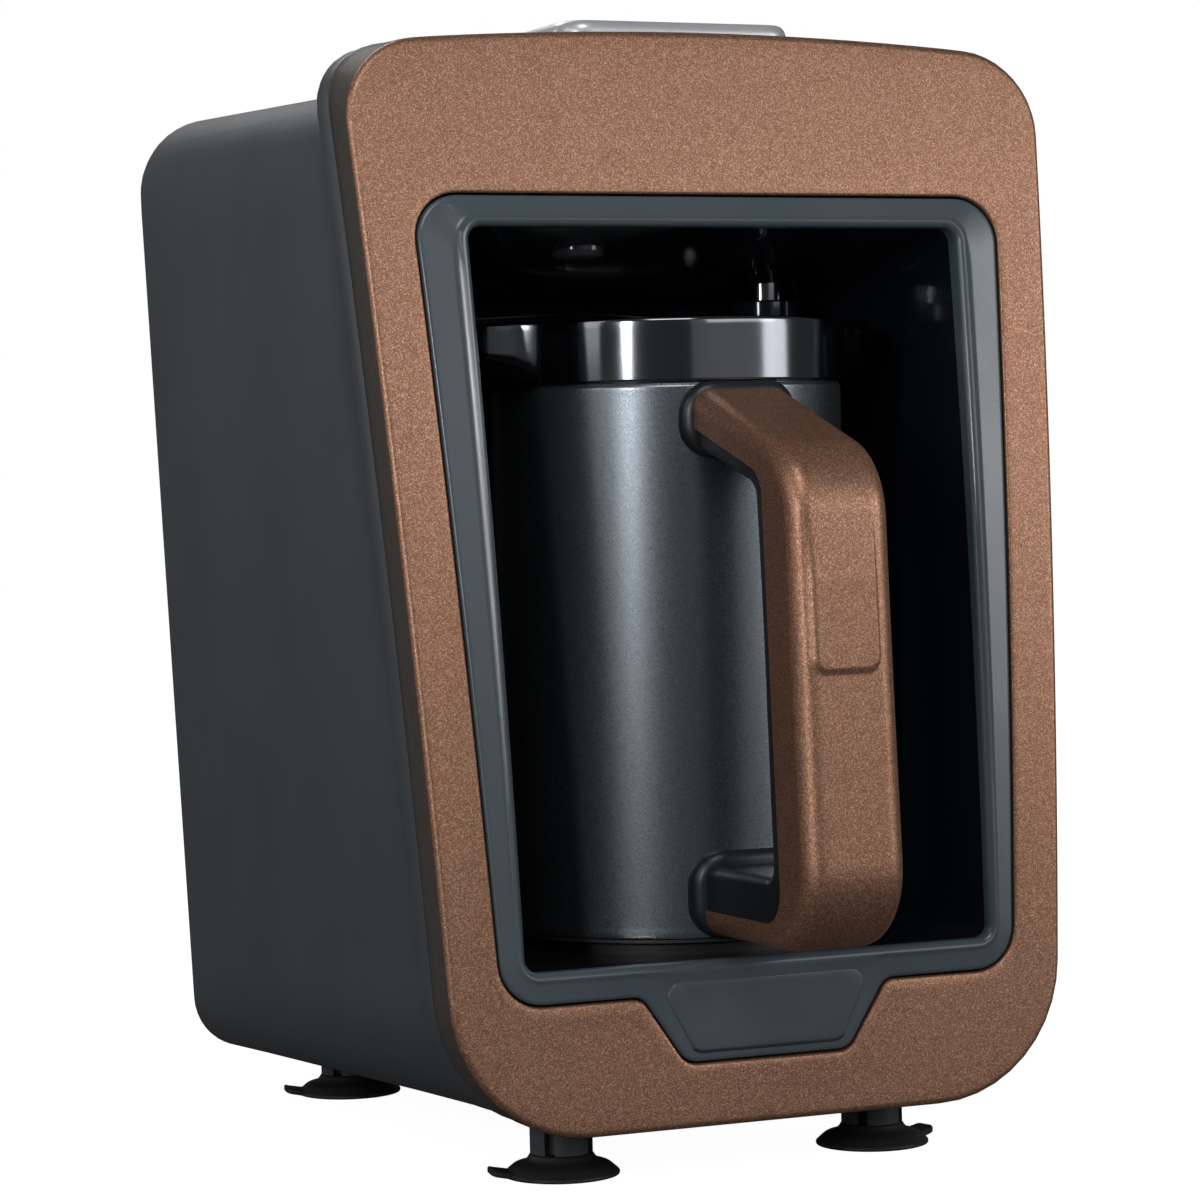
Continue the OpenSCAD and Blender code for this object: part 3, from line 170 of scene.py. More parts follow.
def shared_angles(outlines, centre, gap=0.004):
    """Angles at which rings of several outlines are matched: all their corners' angles and an
    even spread, thinned so that no two are closer than the gap."""
    found = np.concatenate([angles_of(o, centre) for o in outlines] + [np.linspace(0, 2 * math.pi, 97)[:-1]])
    found = np.sort(np.mod(found, 2 * math.pi))
    steps = np.floor(found / gap)
    return found[np.unique(steps, return_index=True)[1]]


def around(outline, centre, angles):
    """The outline's points at these angles, found by interpolation along its edges."""
    a = angles_of(outline, centre)
    start = 2 * math.pi * math.floor(a[0] / (2 * math.pi))
    a = a - start
    a3 = np.concatenate([a - 2 * math.pi, a, a + 2 * math.pi])
    p3 = np.concatenate([outline] * 3)
    return np.stack([np.interp(angles, a3, p3[:, 0]), np.interp(angles, a3, p3[:, 1])], 1)


def standing(outline, y):
    """Stands an outline up at a place along Y, one for all its points or one for each."""
    return np.stack([outline[:, 0], np.broadcast_to(y, len(outline)), outline[:, 1]], 1)


def at_depth(outline, depth):
    """Stands an outline up at a depth behind the bowed front."""
    return standing(outline, front_y(outline[:, 1]) + depth)


def lying(outline, z):
    """Lays an outline down at a height, one for all its points or one for each."""
    return np.column_stack([outline, np.broadcast_to(z, len(outline))])


def between(a, b, count):
    """Rings that go evenly from ring a to ring b, both ends left out."""
    t = (np.arange(count) + 1)[:, None, None] / (count + 1)
    return list(a * (1 - t) + b * t)


def quarter(count):
    """Sine and cosine over a quarter turn, for an edge's rounding."""
    a = np.linspace(0, math.pi / 2, count)
    return list(zip(np.sin(a), np.cos(a)))


# ---- surfaces ----
def shell(rings, wrap=False):
    """A closed surface of rings of equal length. Each ring is joined to the next by quads;
    with wrap the last joins the first, and without it each end is closed by a fan to its middle."""
    rings = np.asarray(rings, float)
    count, size = rings.shape[:2]
    here = np.arange(count if wrap else count - 1)[:, None] * size
    beyond = (here + size) % (count * size)
    j = np.arange(size)[None, :]
    after = (j + 1) % size
    faces = np.stack([here + j, here + after, beyond + after, beyond + j], -1)
    points = rings.reshape(-1, 3)
    faces = faces.reshape(-1, 4).tolist()
    if not wrap:
        points = np.concatenate([points, [rings[0].mean(0), rings[-1].mean(0)]])
        for start, tip in ((0, count * size), ((count - 1) * size, count * size + 1)):
            faces += np.stack([start + j[0], start + after[0], np.full(size, tip)], 1).tolist()
    return points, faces


def softened(points, r, steps=5, closed=False):
    """A profile of (radius, height) points with each inner corner rounded by r, or by less where
    an edge is short: the corner is replaced by a parabola between points on its two edges."""
    p = np.asarray(points, float)
    a, b = np.roll(p, 1, 0) - p, np.roll(p, -1, 0) - p
    la = np.linalg.norm(a, axis=1, keepdims=True)
    lb = np.linalg.norm(b, axis=1, keepdims=True)
    cut = np.minimum(np.minimum(la, lb) * 0.45, r)
    if not closed:
        cut[[0, -1]] = 0
    t = np.linspace(0, 1, steps)[None, :, None]
    start = (p + a / np.maximum(la, 1e-9) * cut)[:, None]
    end = (p + b / np.maximum(lb, 1e-9) * cut)[:, None]
    curve = (start * (1 - t) ** 2 + 2 * p[:, None] * t * (1 - t) + end * t**2).reshape(-1, 2)
    keep = np.linalg.norm(curve - np.roll(curve, 1, 0), axis=1) > 1e-5
    if not closed:
        keep[0] = True
    return curve[keep]


def turned(points, centre, r=0.0, steps=5, closed=False, turns=96, axis="Z"):
    """A profile with softened corners, turned about an upright or a Y axis through the centre. A
    closed profile stays off the axis, and another one starts and ends on it."""
    profile = softened(points, r, steps, closed)
    a = np.linspace(0, 2 * math.pi, turns + 1)[:-1]
    x = profile[:, :1] * np.cos(a)
    y = profile[:, :1] * np.sin(a)
    h = np.repeat(profile[:, 1:], turns, 1)
    return shell(np.stack([x, y, h] if axis == "Z" else [x, h, y], -1) + np.asarray(centre, float), closed)


def mesh_of(name, surfaces, crease=40.0):
    """One mesh of several closed surfaces, with its faces turned outwards."""
    points, faces, base = [], [], 0
    for p, f in surfaces:
        points.append(p)
        faces += [[k + base for k in face] for face in f]
        base += len(p)
    mesh = bpy.data.meshes.new(name)
    mesh.from_pydata((np.concatenate(points) * MM).tolist(), [], faces)
    work = bmesh.new()
    work.from_mesh(mesh)
    bmesh.ops.remove_doubles(work, verts=work.verts, dist=1e-7)
    bmesh.ops.recalc_face_normals(work, faces=work.faces)
    work.to_mesh(mesh)
    work.free()
    mesh.shade_smooth()
    mesh.set_sharp_from_angle(angle=math.radians(crease))
    mesh.update()
    return mesh


def piece(name, surfaces, material, body, stands_for=(), cutters=(), crease=40.0):
    """Makes a piece, cuts it, gives it its material and hangs it on its body."""
    mesh = mesh_of(name, surfaces, crease)
    obj = bpy.data.objects.new(name, mesh)
    bpy.context.scene.collection.objects.link(obj)
    if cutters:
        tool = bpy.data.objects.new(name + "_cut", mesh_of(name + "_cut", cutters))
        bpy.context.scene.collection.objects.link(tool)
        cut = obj.modifiers.new("cut", "BOOLEAN")
        cut.operation = "DIFFERENCE"
        cut.solver = "EXACT"
        cut.object = tool
        bpy.context.view_layer.update()
        done = bpy.data.meshes.new_from_object(obj.evaluated_get(bpy.context.evaluated_depsgraph_get()))
        obj.modifiers.clear()
        obj.data = done
        done.name = name
        bpy.data.meshes.remove(mesh)
        bpy.data.objects.remove(tool)
        done.set_sharp_from_angle(angle=math.radians(crease))
    obj.data.materials.clear()
    obj.data.materials.append(material)
    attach(obj, body)
    if stands_for:
        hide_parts(*stands_for)
    return obj


# ---- node groups and materials ----
def put(tree, socket, value):
    """Sets a socket to a value, or links it to the socket that gives the value."""
    if hasattr(value, "is_output"):
        tree.links.new(value, socket)
    else:
        socket.default_value = value


def add(tree, kind, **values):
    """A shader node with its sockets and its properties set."""
    made = tree.nodes.new("ShaderNode" + kind)
    for key, value in values.items():
        if key in made.inputs:
            put(tree, made.inputs[key], value)
        else:
            setattr(made, key, value)
    return made


def maths(tree, operation, a, b):
    """A Math node; a and b are sockets or numbers."""
    made = add(tree, "Math", operation=operation)
    put(tree, made.inputs[0], a)
    put(tree, made.inputs[1], b)
    return made.outputs[0]


def ramp(tree, value, low, high, out_low=0.0, out_high=1.0):
    """A clamped Map Range from low..high to out_low..out_high."""
    ends = {"From Min": low, "From Max": high, "To Min": out_low, "To Max": out_high}
    return add(tree, "MapRange", Value=value, **ends).outputs["Result"]


def mixed(tree, factor, a, b):
    """A colour mix; factor, a and b are sockets or values."""
    made = add(tree, "Mix", data_type="RGBA")
    for k, value in ((0, factor), (6, a), (7, b)):
        put(tree, made.inputs[k], value)
    return made.outputs[2]


def rgb(colour, times=1.0):
    """Colour with alpha, scaled in brightness."""
    return tuple(min(1.0, c * times) for c in colour[:3]) + (1.0,)


def noise(tree, place, scale, detail, roughness):
    """The value of a noise texture."""
    return add(tree, "TexNoise", Vector=place, Scale=scale, Detail=detail, Roughness=roughness).outputs["Fac"]


def cells(tree, place, scale):
    """Three random values for each cell of a Voronoi texture."""
    split = add(tree, "SeparateColor")
    put(tree, split.inputs[0], add(tree, "TexVoronoi", Vector=place, Scale=scale).outputs["Color"])
    return split.outputs


def new_group(name, inputs):
    """A node group with these inputs that puts out a colour, a roughness and a height. Gives its
    tree, its input sockets and the place on the object."""
    tree = bpy.data.node_groups.new(name, "ShaderNodeTree")
    for label, kind, default in inputs:
        socket = tree.interface.new_socket(name=label, in_out="INPUT", socket_type="NodeSocket" + kind)
        socket.default_value = default
    for label, kind in (("Color", "Color"), ("Roughness", "Float"), ("Height", "Float")):
        tree.interface.new_socket(name=label, in_out="OUTPUT", socket_type="NodeSocket" + kind)
    return tree, tree.nodes.new("NodeGroupInput").outputs, add(tree, "TexCoord").outputs["Object"]


def end_group(tree, colour, roughness, height):
    """Links what a group puts out."""
    end = tree.nodes.new("NodeGroupOutput")
    for label, socket in (("Color", colour), ("Roughness", roughness), ("Height", height)):
        tree.links.new(socket, end.inputs[label])
    return tree


def flake_group():
    """Metallic flake: random cells, the brightest as glints and the darkest as pits, over a
    slow mottling."""
    tree, start, place = new_group("Metallic flake", [
        ("Base", "Color", (0.4, 0.2, 0.12, 1)), ("Glint", "Color", (0.8, 0.5, 0.35, 1)),
        ("Pit", "Color", (0.1, 0.05, 0.03, 1)), ("Flakes per metre", "Float", 2600.0),
        ("Contrast", "Float", 0.5), ("Roughness", "Float", 0.42)])
    flakes = cells(tree, place, start["Flakes per metre"])
    sparks = cells(tree, place, maths(tree, "MULTIPLY", start["Flakes per metre"], 1.43))
    cloud = ramp(tree, noise(tree, place, 160.0, 4.0, 0.6), 0.35, 0.68)
    colour = start["Base"]
    for mask, strength, tone in (
            (cloud, 0.16, "Pit"),
            (ramp(tree, flakes[1], 0.4, 1.0), start["Contrast"], "Pit"),
            (ramp(tree, sparks[0], 0.55, 1.0), start["Contrast"], "Glint")):
        colour = mixed(tree, maths(tree, "MULTIPLY", mask, strength), colour, start[tone])
    spread = ramp(tree, flakes[2], 0.0, 1.0, -0.04, 0.05)
    return end_group(tree, colour, maths(tree, "ADD", start["Roughness"], spread), flakes[0])


def grain_group():
    """Fine moulded grain: two sizes of noise between two tones."""
    tree, start, place = new_group("Moulded grain", [
        ("Tone", "Color", (0.05, 0.05, 0.06, 1)), ("Second tone", "Color", (0.07, 0.07, 0.08, 1)),
        ("Grains per metre", "Float", 1400.0), ("Roughness", "Float", 0.45)])
    fine = noise(tree, place, start["Grains per metre"], 3.0, 0.65)
    slow = noise(tree, place, 26.0, 4.0, 0.55)
    both = maths(tree, "ADD", maths(tree, "MULTIPLY", fine, 0.45), maths(tree, "MULTIPLY", slow, 0.55))
    colour = mixed(tree, ramp(tree, both, 0.35, 0.65), start["Tone"], start["Second tone"])
    wear = ramp(tree, slow, 0.3, 0.7, -0.05, 0.06)
    return end_group(tree, colour, maths(tree, "ADD", start["Roughness"], wear), fine)


def brushed_group():
    """Brushed or drawn metal: noise stretched along one axis."""
    tree, start, place = new_group("Brushed lines", [
        ("Tone", "Color", (0.6, 0.6, 0.62, 1)), ("Line tone", "Color", (0.45, 0.45, 0.47, 1)),
        ("Stretch", "Vector", (1.0, 1.0, 0.04)), ("Lines per metre", "Float", 1800.0),
        ("Roughness", "Float", 0.3)])
    pull = add(tree, "VectorMath", operation="MULTIPLY")
    put(tree, pull.inputs[0], place)
    put(tree, pull.inputs[1], start["Stretch"])
    mask = ramp(tree, noise(tree, pull.outputs[0], start["Lines per metre"], 5.0, 0.7), 0.35, 0.65)
    colour = mixed(tree, mask, start["Tone"], start["Line tone"])
    uneven = ramp(tree, mask, 0, 1, -0.05, 0.1)
    return end_group(tree, colour, maths(tree, "ADD", start["Roughness"], uneven), mask)


def group_named(name, make):
    """The node group of that name, built the first time it is asked for."""
    return bpy.data.node_groups.get(name) or make()


def finish_with(name, group, values, bump, distance, shader):
    """A material whose Principled shader takes colour, roughness and bump from a group. Its name
    starts with finish_, so that it never meets a material that came with the solids."""
    name = "finish_" + name
    old = bpy.data.materials.get(name)
    if old:
        return old
    material = bpy.data.materials.new(name)
    material.use_nodes = True
    tree = material.node_tree
    main = tree.nodes["Principled BSDF"].inputs
    effect = add(tree, "Group", node_tree=group)
    rise = add(tree, "Bump", Strength=bump, Distance=distance * MM, Height=effect.outputs["Height"])
    for key, value in values.items():
        put(tree, effect.inputs[key], value)
    own = {"Base Color": effect.outputs["Color"], "Roughness": effect.outputs["Roughness"],
           "Normal": rise.outputs["Normal"]}
    for key, value in (own | shader).items():
        put(tree, main[key], value)
    return material


def flake_finish(name, base, glint, pit, flakes, contrast, roughness, bump=0.35, **shader):
    """Metallic flake lacquer."""
    return finish_with(name, group_named("Metallic flake", flake_group),
                       {"Base": rgb(base), "Glint": rgb(glint), "Pit": rgb(pit), "Flakes per metre": flakes,
                        "Contrast": contrast, "Roughness": roughness}, bump, 0.05, shader)


def moulded_finish(name, tone, roughness, second=1.25, grains=1400.0, bump=0.12, **shader):
    """Moulded plastic or rubber with a fine grain."""
    return finish_with(name, group_named("Moulded grain", grain_group),
                       {"Tone": rgb(tone), "Second tone": rgb(tone, second),
                        "Grains per metre": grains, "Roughness": roughness}, bump, 0.08, shader)


def brushed_finish(name, tone, roughness, stretch=(1.0, 1.0, 0.04), lines=1800.0, bump=0.1, **shader):
    """Brushed, drawn or turned metal."""
    shader.setdefault("Metallic", 1.0)
    return finish_with(name, group_named("Brushed lines", brushed_group),
                       {"Tone": rgb(tone), "Line tone": rgb(tone, 0.78), "Stretch": stretch,
                        "Lines per metre": lines, "Roughness": roughness}, bump, 0.03, shader)


def copper_flake():
    """Copper-brown flake lacquer of the fascia and the handle."""
    c = bpy.context.scene.coffee_finish
    return flake_finish("copper_flake", c.copper, c.copper_glint, c.copper_pit, 1000 / c.flake_size, 0.58,
                        c.copper_gloss, bump=0.4, Metallic=0.82)


def band_painted_shade():
    """Dark brown copy of the copper lacquer for the fascia's side band, with few flakes: painted shade, since
    the band is the same paint turned away from the light.
    """
    return flake_finish("band_painted_shade", (0.06, 0.05, 0.043), (0.2, 0.15, 0.12), (0.04, 0.033, 0.028),
                        2600.0, 0.3, 0.5, bump=0.2, **{"Metallic": 0.1, "Specular IOR Level": 0.2})


def housing_grey():
    """Satin dark grey moulding of the housing."""
    c = bpy.context.scene.coffee_finish
    return moulded_finish("housing_grey", c.housing, 0.42, 1.12, grains=2200.0, bump=0.05)


def bezel_grey():
    """Satin grey moulding of the bezel."""
    c = bpy.context.scene.coffee_finish
    return moulded_finish("bezel_grey", c.bezel, 0.27, 1.1, grains=2200.0, bump=0.03,
                          **{"Specular IOR Level": 0.8})


def niche_black():
    """Polished black of the niche."""
    return moulded_finish("niche_black", (0.006, 0.008, 0.012), 0.1, 1.3, grains=300.0, bump=0.01)


def rim_gloss():
    """Polished black of the pot's rim band."""
    return moulded_finish("rim_gloss", (0.2, 0.212, 0.228), 0.12, 1.08, grains=300.0, bump=0.01, Metallic=1.0)


def pot_lacquer():
    """Dark grey metallic lacquer of the pot."""
    return flake_finish("pot_lacquer", (0.25, 0.282, 0.312), (0.5, 0.55, 0.6), (0.22, 0.25, 0.28),
                        4600.0, 0.34, 0.3, bump=0.08, Metallic=0.96)


def satin_black():
    """Satin black moulding of the handle's core."""
    return moulded_finish("satin_black", (0.009, 0.011, 0.013), 0.33, 1.3, bump=0.03)


def satin_chrome():
    """Satin chrome of the top deck."""
    return brushed_finish("satin_chrome", (0.72, 0.74, 0.77), 0.34, (0.03, 1.0, 1.0), 900.0, 0.01,
                          Metallic=0.55)


def soft_rubber():
    """Black rubber with a faint bloom."""
    return moulded_finish("soft_rubber", (0.012, 0.012, 0.013), 0.5, 1.7, grains=900.0, bump=0.15)


# ---- settings ----
class CoffeeSizes(bpy.types.PropertyGroup):
    """Sizes of the dressed pieces."""

    fascia_edge: bpy.props.FloatProperty(
        name="Fascia edge", description="Radius of the fascia's outer edge",
        default=0.0015, min=0.0008, max=0.006, unit="LENGTH")
    lip_low: bpy.props.FloatProperty(
        name="Lip at the bottom", description="How far the bezel's lip stands proud at the bottom",
        default=0.0005, min=0.0, max=0.003, unit="LENGTH")
    lip_top: bpy.props.FloatProperty(
        name="Lip at the top", description="How far the bezel's lip stands proud at the top",
        default=0.0023, min=0.0, max=0.003, unit="LENGTH")
    cove: bpy.props.FloatProperty(
        name="Cove", description="Length of the hollow between the flange and the body",
        default=0.014, min=0.004, max=0.018, unit="LENGTH")
    grip_pad: bpy.props.FloatProperty(
        name="Grip pad", description="Height of the raised pad on the grip",
        default=0.0006, min=0.0002, max=0.001, unit="LENGTH")
    grip_edge: bpy.props.FloatProperty(
        name="Grip edge", description="Radius of the handle's edges",
        default=0.0046, min=0.001, max=0.006, unit="LENGTH")


COLOUR = {"subtype": "COLOR", "size": 3, "min": 0.0, "max": 1.0}


class CoffeeFinish(bpy.types.PropertyGroup):
    """Colours and finishes."""

    copper: bpy.props.FloatVectorProperty(
        name="Copper", description="Main colour of the front", default=(0.385, 0.194, 0.12), **COLOUR)
    copper_glint: bpy.props.FloatVectorProperty(
        name="Copper glint", description="Bright flakes", default=(1.0, 0.64, 0.46), **COLOUR)
    copper_pit: bpy.props.FloatVectorProperty(
        name="Copper pit", description="Dark flakes", default=(0.2, 0.092, 0.055), **COLOUR)
    copper_gloss: bpy.props.FloatProperty(
        name="Copper roughness", description="Roughness of the flake lacquer", default=0.42, min=0.1, max=0.9)
    flake_size: bpy.props.FloatProperty(
        name="Flake size", description="Size of a flake, in millimetres", default=0.27, min=0.1, max=2.0)
    housing: bpy.props.FloatVectorProperty(
        name="Housing", description="Colour of the housing", default=(0.046, 0.0535, 0.063), **COLOUR)
    bezel: bpy.props.FloatVectorProperty(
        name="Bezel", description="Colour of the bezel", default=(0.062, 0.083, 0.098), **COLOUR)
    floor: bpy.props.FloatVectorProperty(
        name="Floor", description="Colour of the floor", default=(0.2, 0.2, 0.2), **COLOUR)


# ---- outlines of this machine ----
MID = (0.0, 125.0)  # the point about which the front's rings are matched
BACK_R = 13.5  # corner radius at the back of the fascia's band and of the flange


def fascia_outline(g=0.0, r_top=18.0):
    """The fascia's outline, or the one at a distance g inside it."""
    low, top = FASCIA_LOW + g, FASCIA_TOP - g
    low_half, top_half = float(side_half(low)) - g, float(side_half(top)) - g
    return crowned(low, low_half, top, top_half, 4.0, max(31.0 - g, 0.5), max(r_top - g, 0.5))


def window_outline():
    """The window with the badge tab below its middle."""
    low, top, tab_low = 40.0, 210.4, 25.5
    tab = [[-29.0, low], [-19.4, tab_low], [19.4, tab_low], [29.0, low]]
    corners = [[-60.8, low]] + tab + [[60.8, low], [70.0, top], [-70.0, top]]
    return rounded(corners, [10, 3.5, 5, 5, 3.5, 10, 10, 10])


def mouth_outline():
    """The opening inside the bezel's lip."""
    return trapezoid(MOUTH_LOW, 55.0, MOUTH_TOP, 58.2, 3.0, 3.0)


def side_half(z):
    """Half width of the fascia at a height, on its straight leaning sides."""
    rise = (np.asarray(z) - FASCIA_LOW) / (FASCIA_TOP - FASCIA_LOW)
    return FASCIA_LOW_HALF + (FASCIA_TOP_HALF - FASCIA_LOW_HALF) * rise


def body_outline(y, g=0.0):
    """The housing's section at a place along Y, or the one at a distance g inside it: its top
    rises, its underside falls and its lower corners tighten to the back."""
    back = (y - FRONT_LOW_Y) / BODY_DEPTH
    low, top = 14.8 - 4.0 * back + g, 236.0 + 6.5 * back - g
    low_half = float(side_half(low)) - 1.2 + back - g
    top_half = float(side_half(top)) - 3.0 - 0.5 * back - g
    return crowned(low, low_half, top, top_half, 3.2, max(27.0 - 14.0 * back - g, 0.5), max(19.0 - g, 0.5))


def panel_outline():
    """The opening in the back that the rear panel closes."""
    return trapezoid(21.0, 55.0, 220.0, 59.0, 10.0, 10.0)


class COFFEE_OT_fascia(bpy.types.Operator):
    """Make the copper-brown fascia: a bowed plate with a window, a rounded edge and a deep side band"""

    bl_idname = "coffee.fascia"
    bl_label = "Front fascia"

    def execute(self, context):
        """Rings run from the window's edge across the bowed face, over the rounded outer edge,
        back along the side band and forward again inside."""
        r = context.scene.coffee_sizes.fascia_edge / MM
        outer, window = fascia_outline(), window_outline()
        angles = shared_angles([outer, window], MID)
        o, w = around(outer, MID, angles), around(window, MID, angles)
        wide = around(fascia_outline(0.15, BACK_R), MID, angles)
        rings = [at_depth(w, WALL)]
        rings += [at_depth(grow(w, 0.6 * (1 - c)), 0.6 * (1 - s)) for s, c in quarter(4)]
        face = between(rings[-1], at_depth(grow(o, -r), 0), 10)
        rings += [at_depth(ring[:, ::2], 0) for ring in face]
        rings += [at_depth(grow(o, -r * (1 - s)), r * (1 - c)) for s, c in quarter(10)]
        band_end = SIDE_DEPTH - 0.3
        rings += [at_depth(o * (1 - t) + wide * t, r + (band_end - r) * t) for t in (0.33, 0.66, 1.0)]
        rings += [at_depth(grow(wide, -0.1), SIDE_DEPTH - 0.1), at_depth(grow(wide, -0.3), SIDE_DEPTH)]
        rings += [at_depth(grow(wide, -WALL), SIDE_DEPTH), at_depth(grow(o, -WALL), SIDE_DEPTH / 2)]
        rings += [at_depth(grow(o, -5.0), WALL)]
        skin = [shell(rings, wrap=True)]
        fascia = piece("fascia", skin, copper_flake(), "machine", ["front_fascia"])

        # painted shade: the dark brown copy of the lacquer goes on every face behind the edge, but for the
        # window's
        mesh = fascia.data
        mesh.materials.append(band_painted_shade())
        middles = np.empty(3 * len(mesh.polygons))
        mesh.polygons.foreach_get("center", middles)
        x, y, z = middles.reshape(-1, 3).T / MM
        rim, above, below = 30.0, FASCIA_TOP - 16.0, FASCIA_LOW + 10.0
        outside = (np.abs(x) > side_half(z) - rim) | (z > above) | (z < below)
        band = (y - front_y(z) > 0.6 * r) & outside
        mesh.polygons.foreach_set("material_index", band.astype(np.int32))
        mesh.update()
        return {"FINISHED"}


class COFFEE_OT_bezel(bpy.types.Operator):
    """Make the grey bezel, whose face leans out to a rounded lip, and the bare badge plate"""

    bl_idname = "coffee.bezel"
    bl_label = "Bezel and badge"

    def execute(self, context):
        """Rings run from the skirt over the outer edge and the leaning face to the lip, then into
        the mouth. The lip's height grows evenly from bottom to top."""
        sizes = context.scene.coffee_sizes
        window, mouth = grow(window_outline(), -0.45), mouth_outline()
        angles = shared_angles([window, mouth], MID)
        w, m = around(window, MID, angles), around(mouth, MID, angles)
        rise = (m[:, 1] - MOUTH_LOW) / (MOUTH_TOP - MOUTH_LOW)
        proud = (sizes.lip_low + (sizes.lip_top - sizes.lip_low) * rise) / MM
        skirt, edge_r, lip_r = 8.0, 0.9, 1.7
        rings = [at_depth(grow(w, -1.8), skirt), at_depth(w, skirt), at_depth(w, 1.2)]
        rings += [at_depth(grow(w, -edge_r * (1 - c)), edge_r * (1 - s)) for s, c in quarter(5)]
        start, lip = grow(w, -edge_r), grow(m, lip_r)
        for t in np.linspace(0.06, 1, 20):
            # the face climbs evenly, and steeper over its last fifth, next to the lip
            climb = 0.62 * t + 0.38 * np.clip((t - 0.78) / 0.22, 0, 1) ** 1.5
            flat = start * (1 - t) + lip * t
            rings.append(at_depth(flat, -proud * climb))
        rings += [at_depth(grow(m, lip_r * (1 - s)), lip_r * (1 - c) - proud) for s, c in quarter(7)]
        rings += [at_depth(m, WALL), at_depth(grow(m, 2.3), WALL), at_depth(grow(w, -1.8), WALL)]
        piece("bezel", [shell(rings, wrap=True)], bezel_grey(), "machine", ["bezel_frame"])

        plate = trapezoid(28.2, 17.4, 43.2, 25.4, 3.2, 3.2)
        plate_mid, plate_top, plate_edge = np.array([0.0, 35.7]), -0.45, 0.5
        rows = [at_depth(plate, 1.2), at_depth(plate, 0.1)]
        rows += [at_depth(grow(plate, -plate_edge * (1 - c)), plate_top * s) for s, c in quarter(5)]
        rows += [at_depth(plate_mid + (plate - plate_mid) * k, plate_top) for k in (0.8, 0.4)]
        tone = context.scene.coffee_finish.bezel
        grey = moulded_finish("badge_grey", tone, 0.3, 1.1, grains=2400.0, bump=0.03)
        piece("badge", [shell(rows)], grey, "machine", ["badge_plate"])
        # painted shade: a thin satin black ring around the badge plate darkens the groove between the plate
        # and the bezel
        corners = ((0.05, 0.4), (0.05, -0.03), (0.5, -0.03), (0.5, 0.4))
        groove_shade = [at_depth(grow(plate, g), depth) for g, depth in corners]
        piece("badge_groove_painted_shade", [shell(groove_shade, wrap=True)], satin_black(), "machine")
        return {"FINISHED"}


class COFFEE_OT_housing(bpy.types.Operator):
    """Make the grey rear housing: flange, cove, body, top deck and the opening for the rear panel"""

    bl_idname = "coffee.housing"
    bl_label = "Rear housing"

    def execute(self, context):
        """The skin is a stack of matched rings. It starts inside the back, comes forward to the
        niche's opening and goes out over the flange and the cove to the back again."""
        cove = context.scene.coffee_sizes.cove / MM
        mid_z = 126.0
        hole = grow(mouth_outline(), 2.5)
        shapes = [fascia_outline(0, BACK_R), body_outline(BACK_Y), hole]
        angles = shared_angles(shapes, (0.0, mid_z), 0.012)

        def matched(outline):
            """The outline's points at the angles that all rings share."""
            return around(outline, (0.0, mid_z), angles)

        def flange(g):
            """The flange's edge, or the outline at a distance g inside it."""
            return matched(fascia_outline(0.3 + g, BACK_R))

        def section(depth, g):
            """The body at a depth behind the bowed front, its own height setting the place along Y."""
            low, high = 20.0, 235.0
            lower = matched(body_outline(float(front_y(low)) + depth, g))
            upper = matched(body_outline(float(front_y(high)) + depth, g))
            t = np.clip((upper[:, 1:] - low) / (high - low), 0, 1)
            return upper * t + lower * (1 - t)

        face, seat = 11.0, 18.0
        cove_from, cove_to = seat + 0.8, seat + 1.0 + cove
        h = matched(hole)
        outer = [at_depth(h, face)] + [at_depth(ring, face) for ring in between(h, flange(3.2), 3)]
        outer += [at_depth(flange(3.0), face + 0.2)]
        outer += [at_depth(flange(0.3 * (1 - s)), face + 0.3 * (2 - c)) for s, c in quarter(4)]
        outer += [at_depth(flange(0), seat)]
        outer += [at_depth(flange(0.8 * (1 - c)), seat + 0.8 * s) for s, c in quarter(4)]
        for a in np.linspace(0.08, 1, 12) * math.pi / 2:
            mix = math.sin(a)
            flat = flange(0.8) * (1 - mix) + section(cove_to, 0) * mix
            outer.append(at_depth(flat, cove_from + cove * (1 - math.cos(a))))

        # straight sides, then the rounded edge and the flat back
        r = 4.0
        turn_y = BACK_Y - r
        start_y = outer[-1][:, 1]
        for t in (0.25, 0.5, 0.75, 1.0):
            flat = section(cove_to, 0) * (1 - t) + matched(body_outline(turn_y)) * t
            outer.append(standing(flat, start_y * (1 - t) + turn_y * t))
        for s, c in quarter(12)[1:]:
            outer.append(standing(matched(body_outline(turn_y, r * (1 - c))), turn_y + r * s))
        centre = np.array([0.0, BACK_Y, mid_z])
        outer += [centre + (outer[-1] - centre) * k for k in (0.75, 0.5, 0.25)]

        # the inside, a wall's thickness away
        inner = [centre + (ring - centre) * 0.97 - [0, WALL, 0] for ring in outer[:-5:-1]]
        for s, c in quarter(6)[::-1][1:]:
            flat = matched(body_outline(turn_y, WALL + (r - WALL) * (1 - c)))
            inner.append(standing(flat, turn_y + (r - WALL) * s))
        inner += [at_depth(section(d, WALL), d) for d in (32.0, face + WALL)]
        inner.append(at_depth(h, face + WALL))
        opening = panel_outline()
        skin, cut = shell(inner + outer), shell([standing(opening, y) for y in (BACK_Y - 8, BACK_Y + 2)])
        piece("housing", [skin], housing_grey(), "machine", ["rear_housing"], [cut])

        low, high = span("control_plate")
        block = rectangle(low[:2] + [1.5, 2.5], high[:2] - 1.5, 5)
        lift = low[2] - 0.25
        steps = ((-14, 0.8), (-9, 0.5), (-0.6, 0.05), (-0.2, -0.1), (0, -0.5))
        rows = [lying(grow(block, g), lift + dz) for dz, g in steps]
        piece("top_deck", [shell(rows)], housing_grey(), "machine")
        return {"FINISHED"}


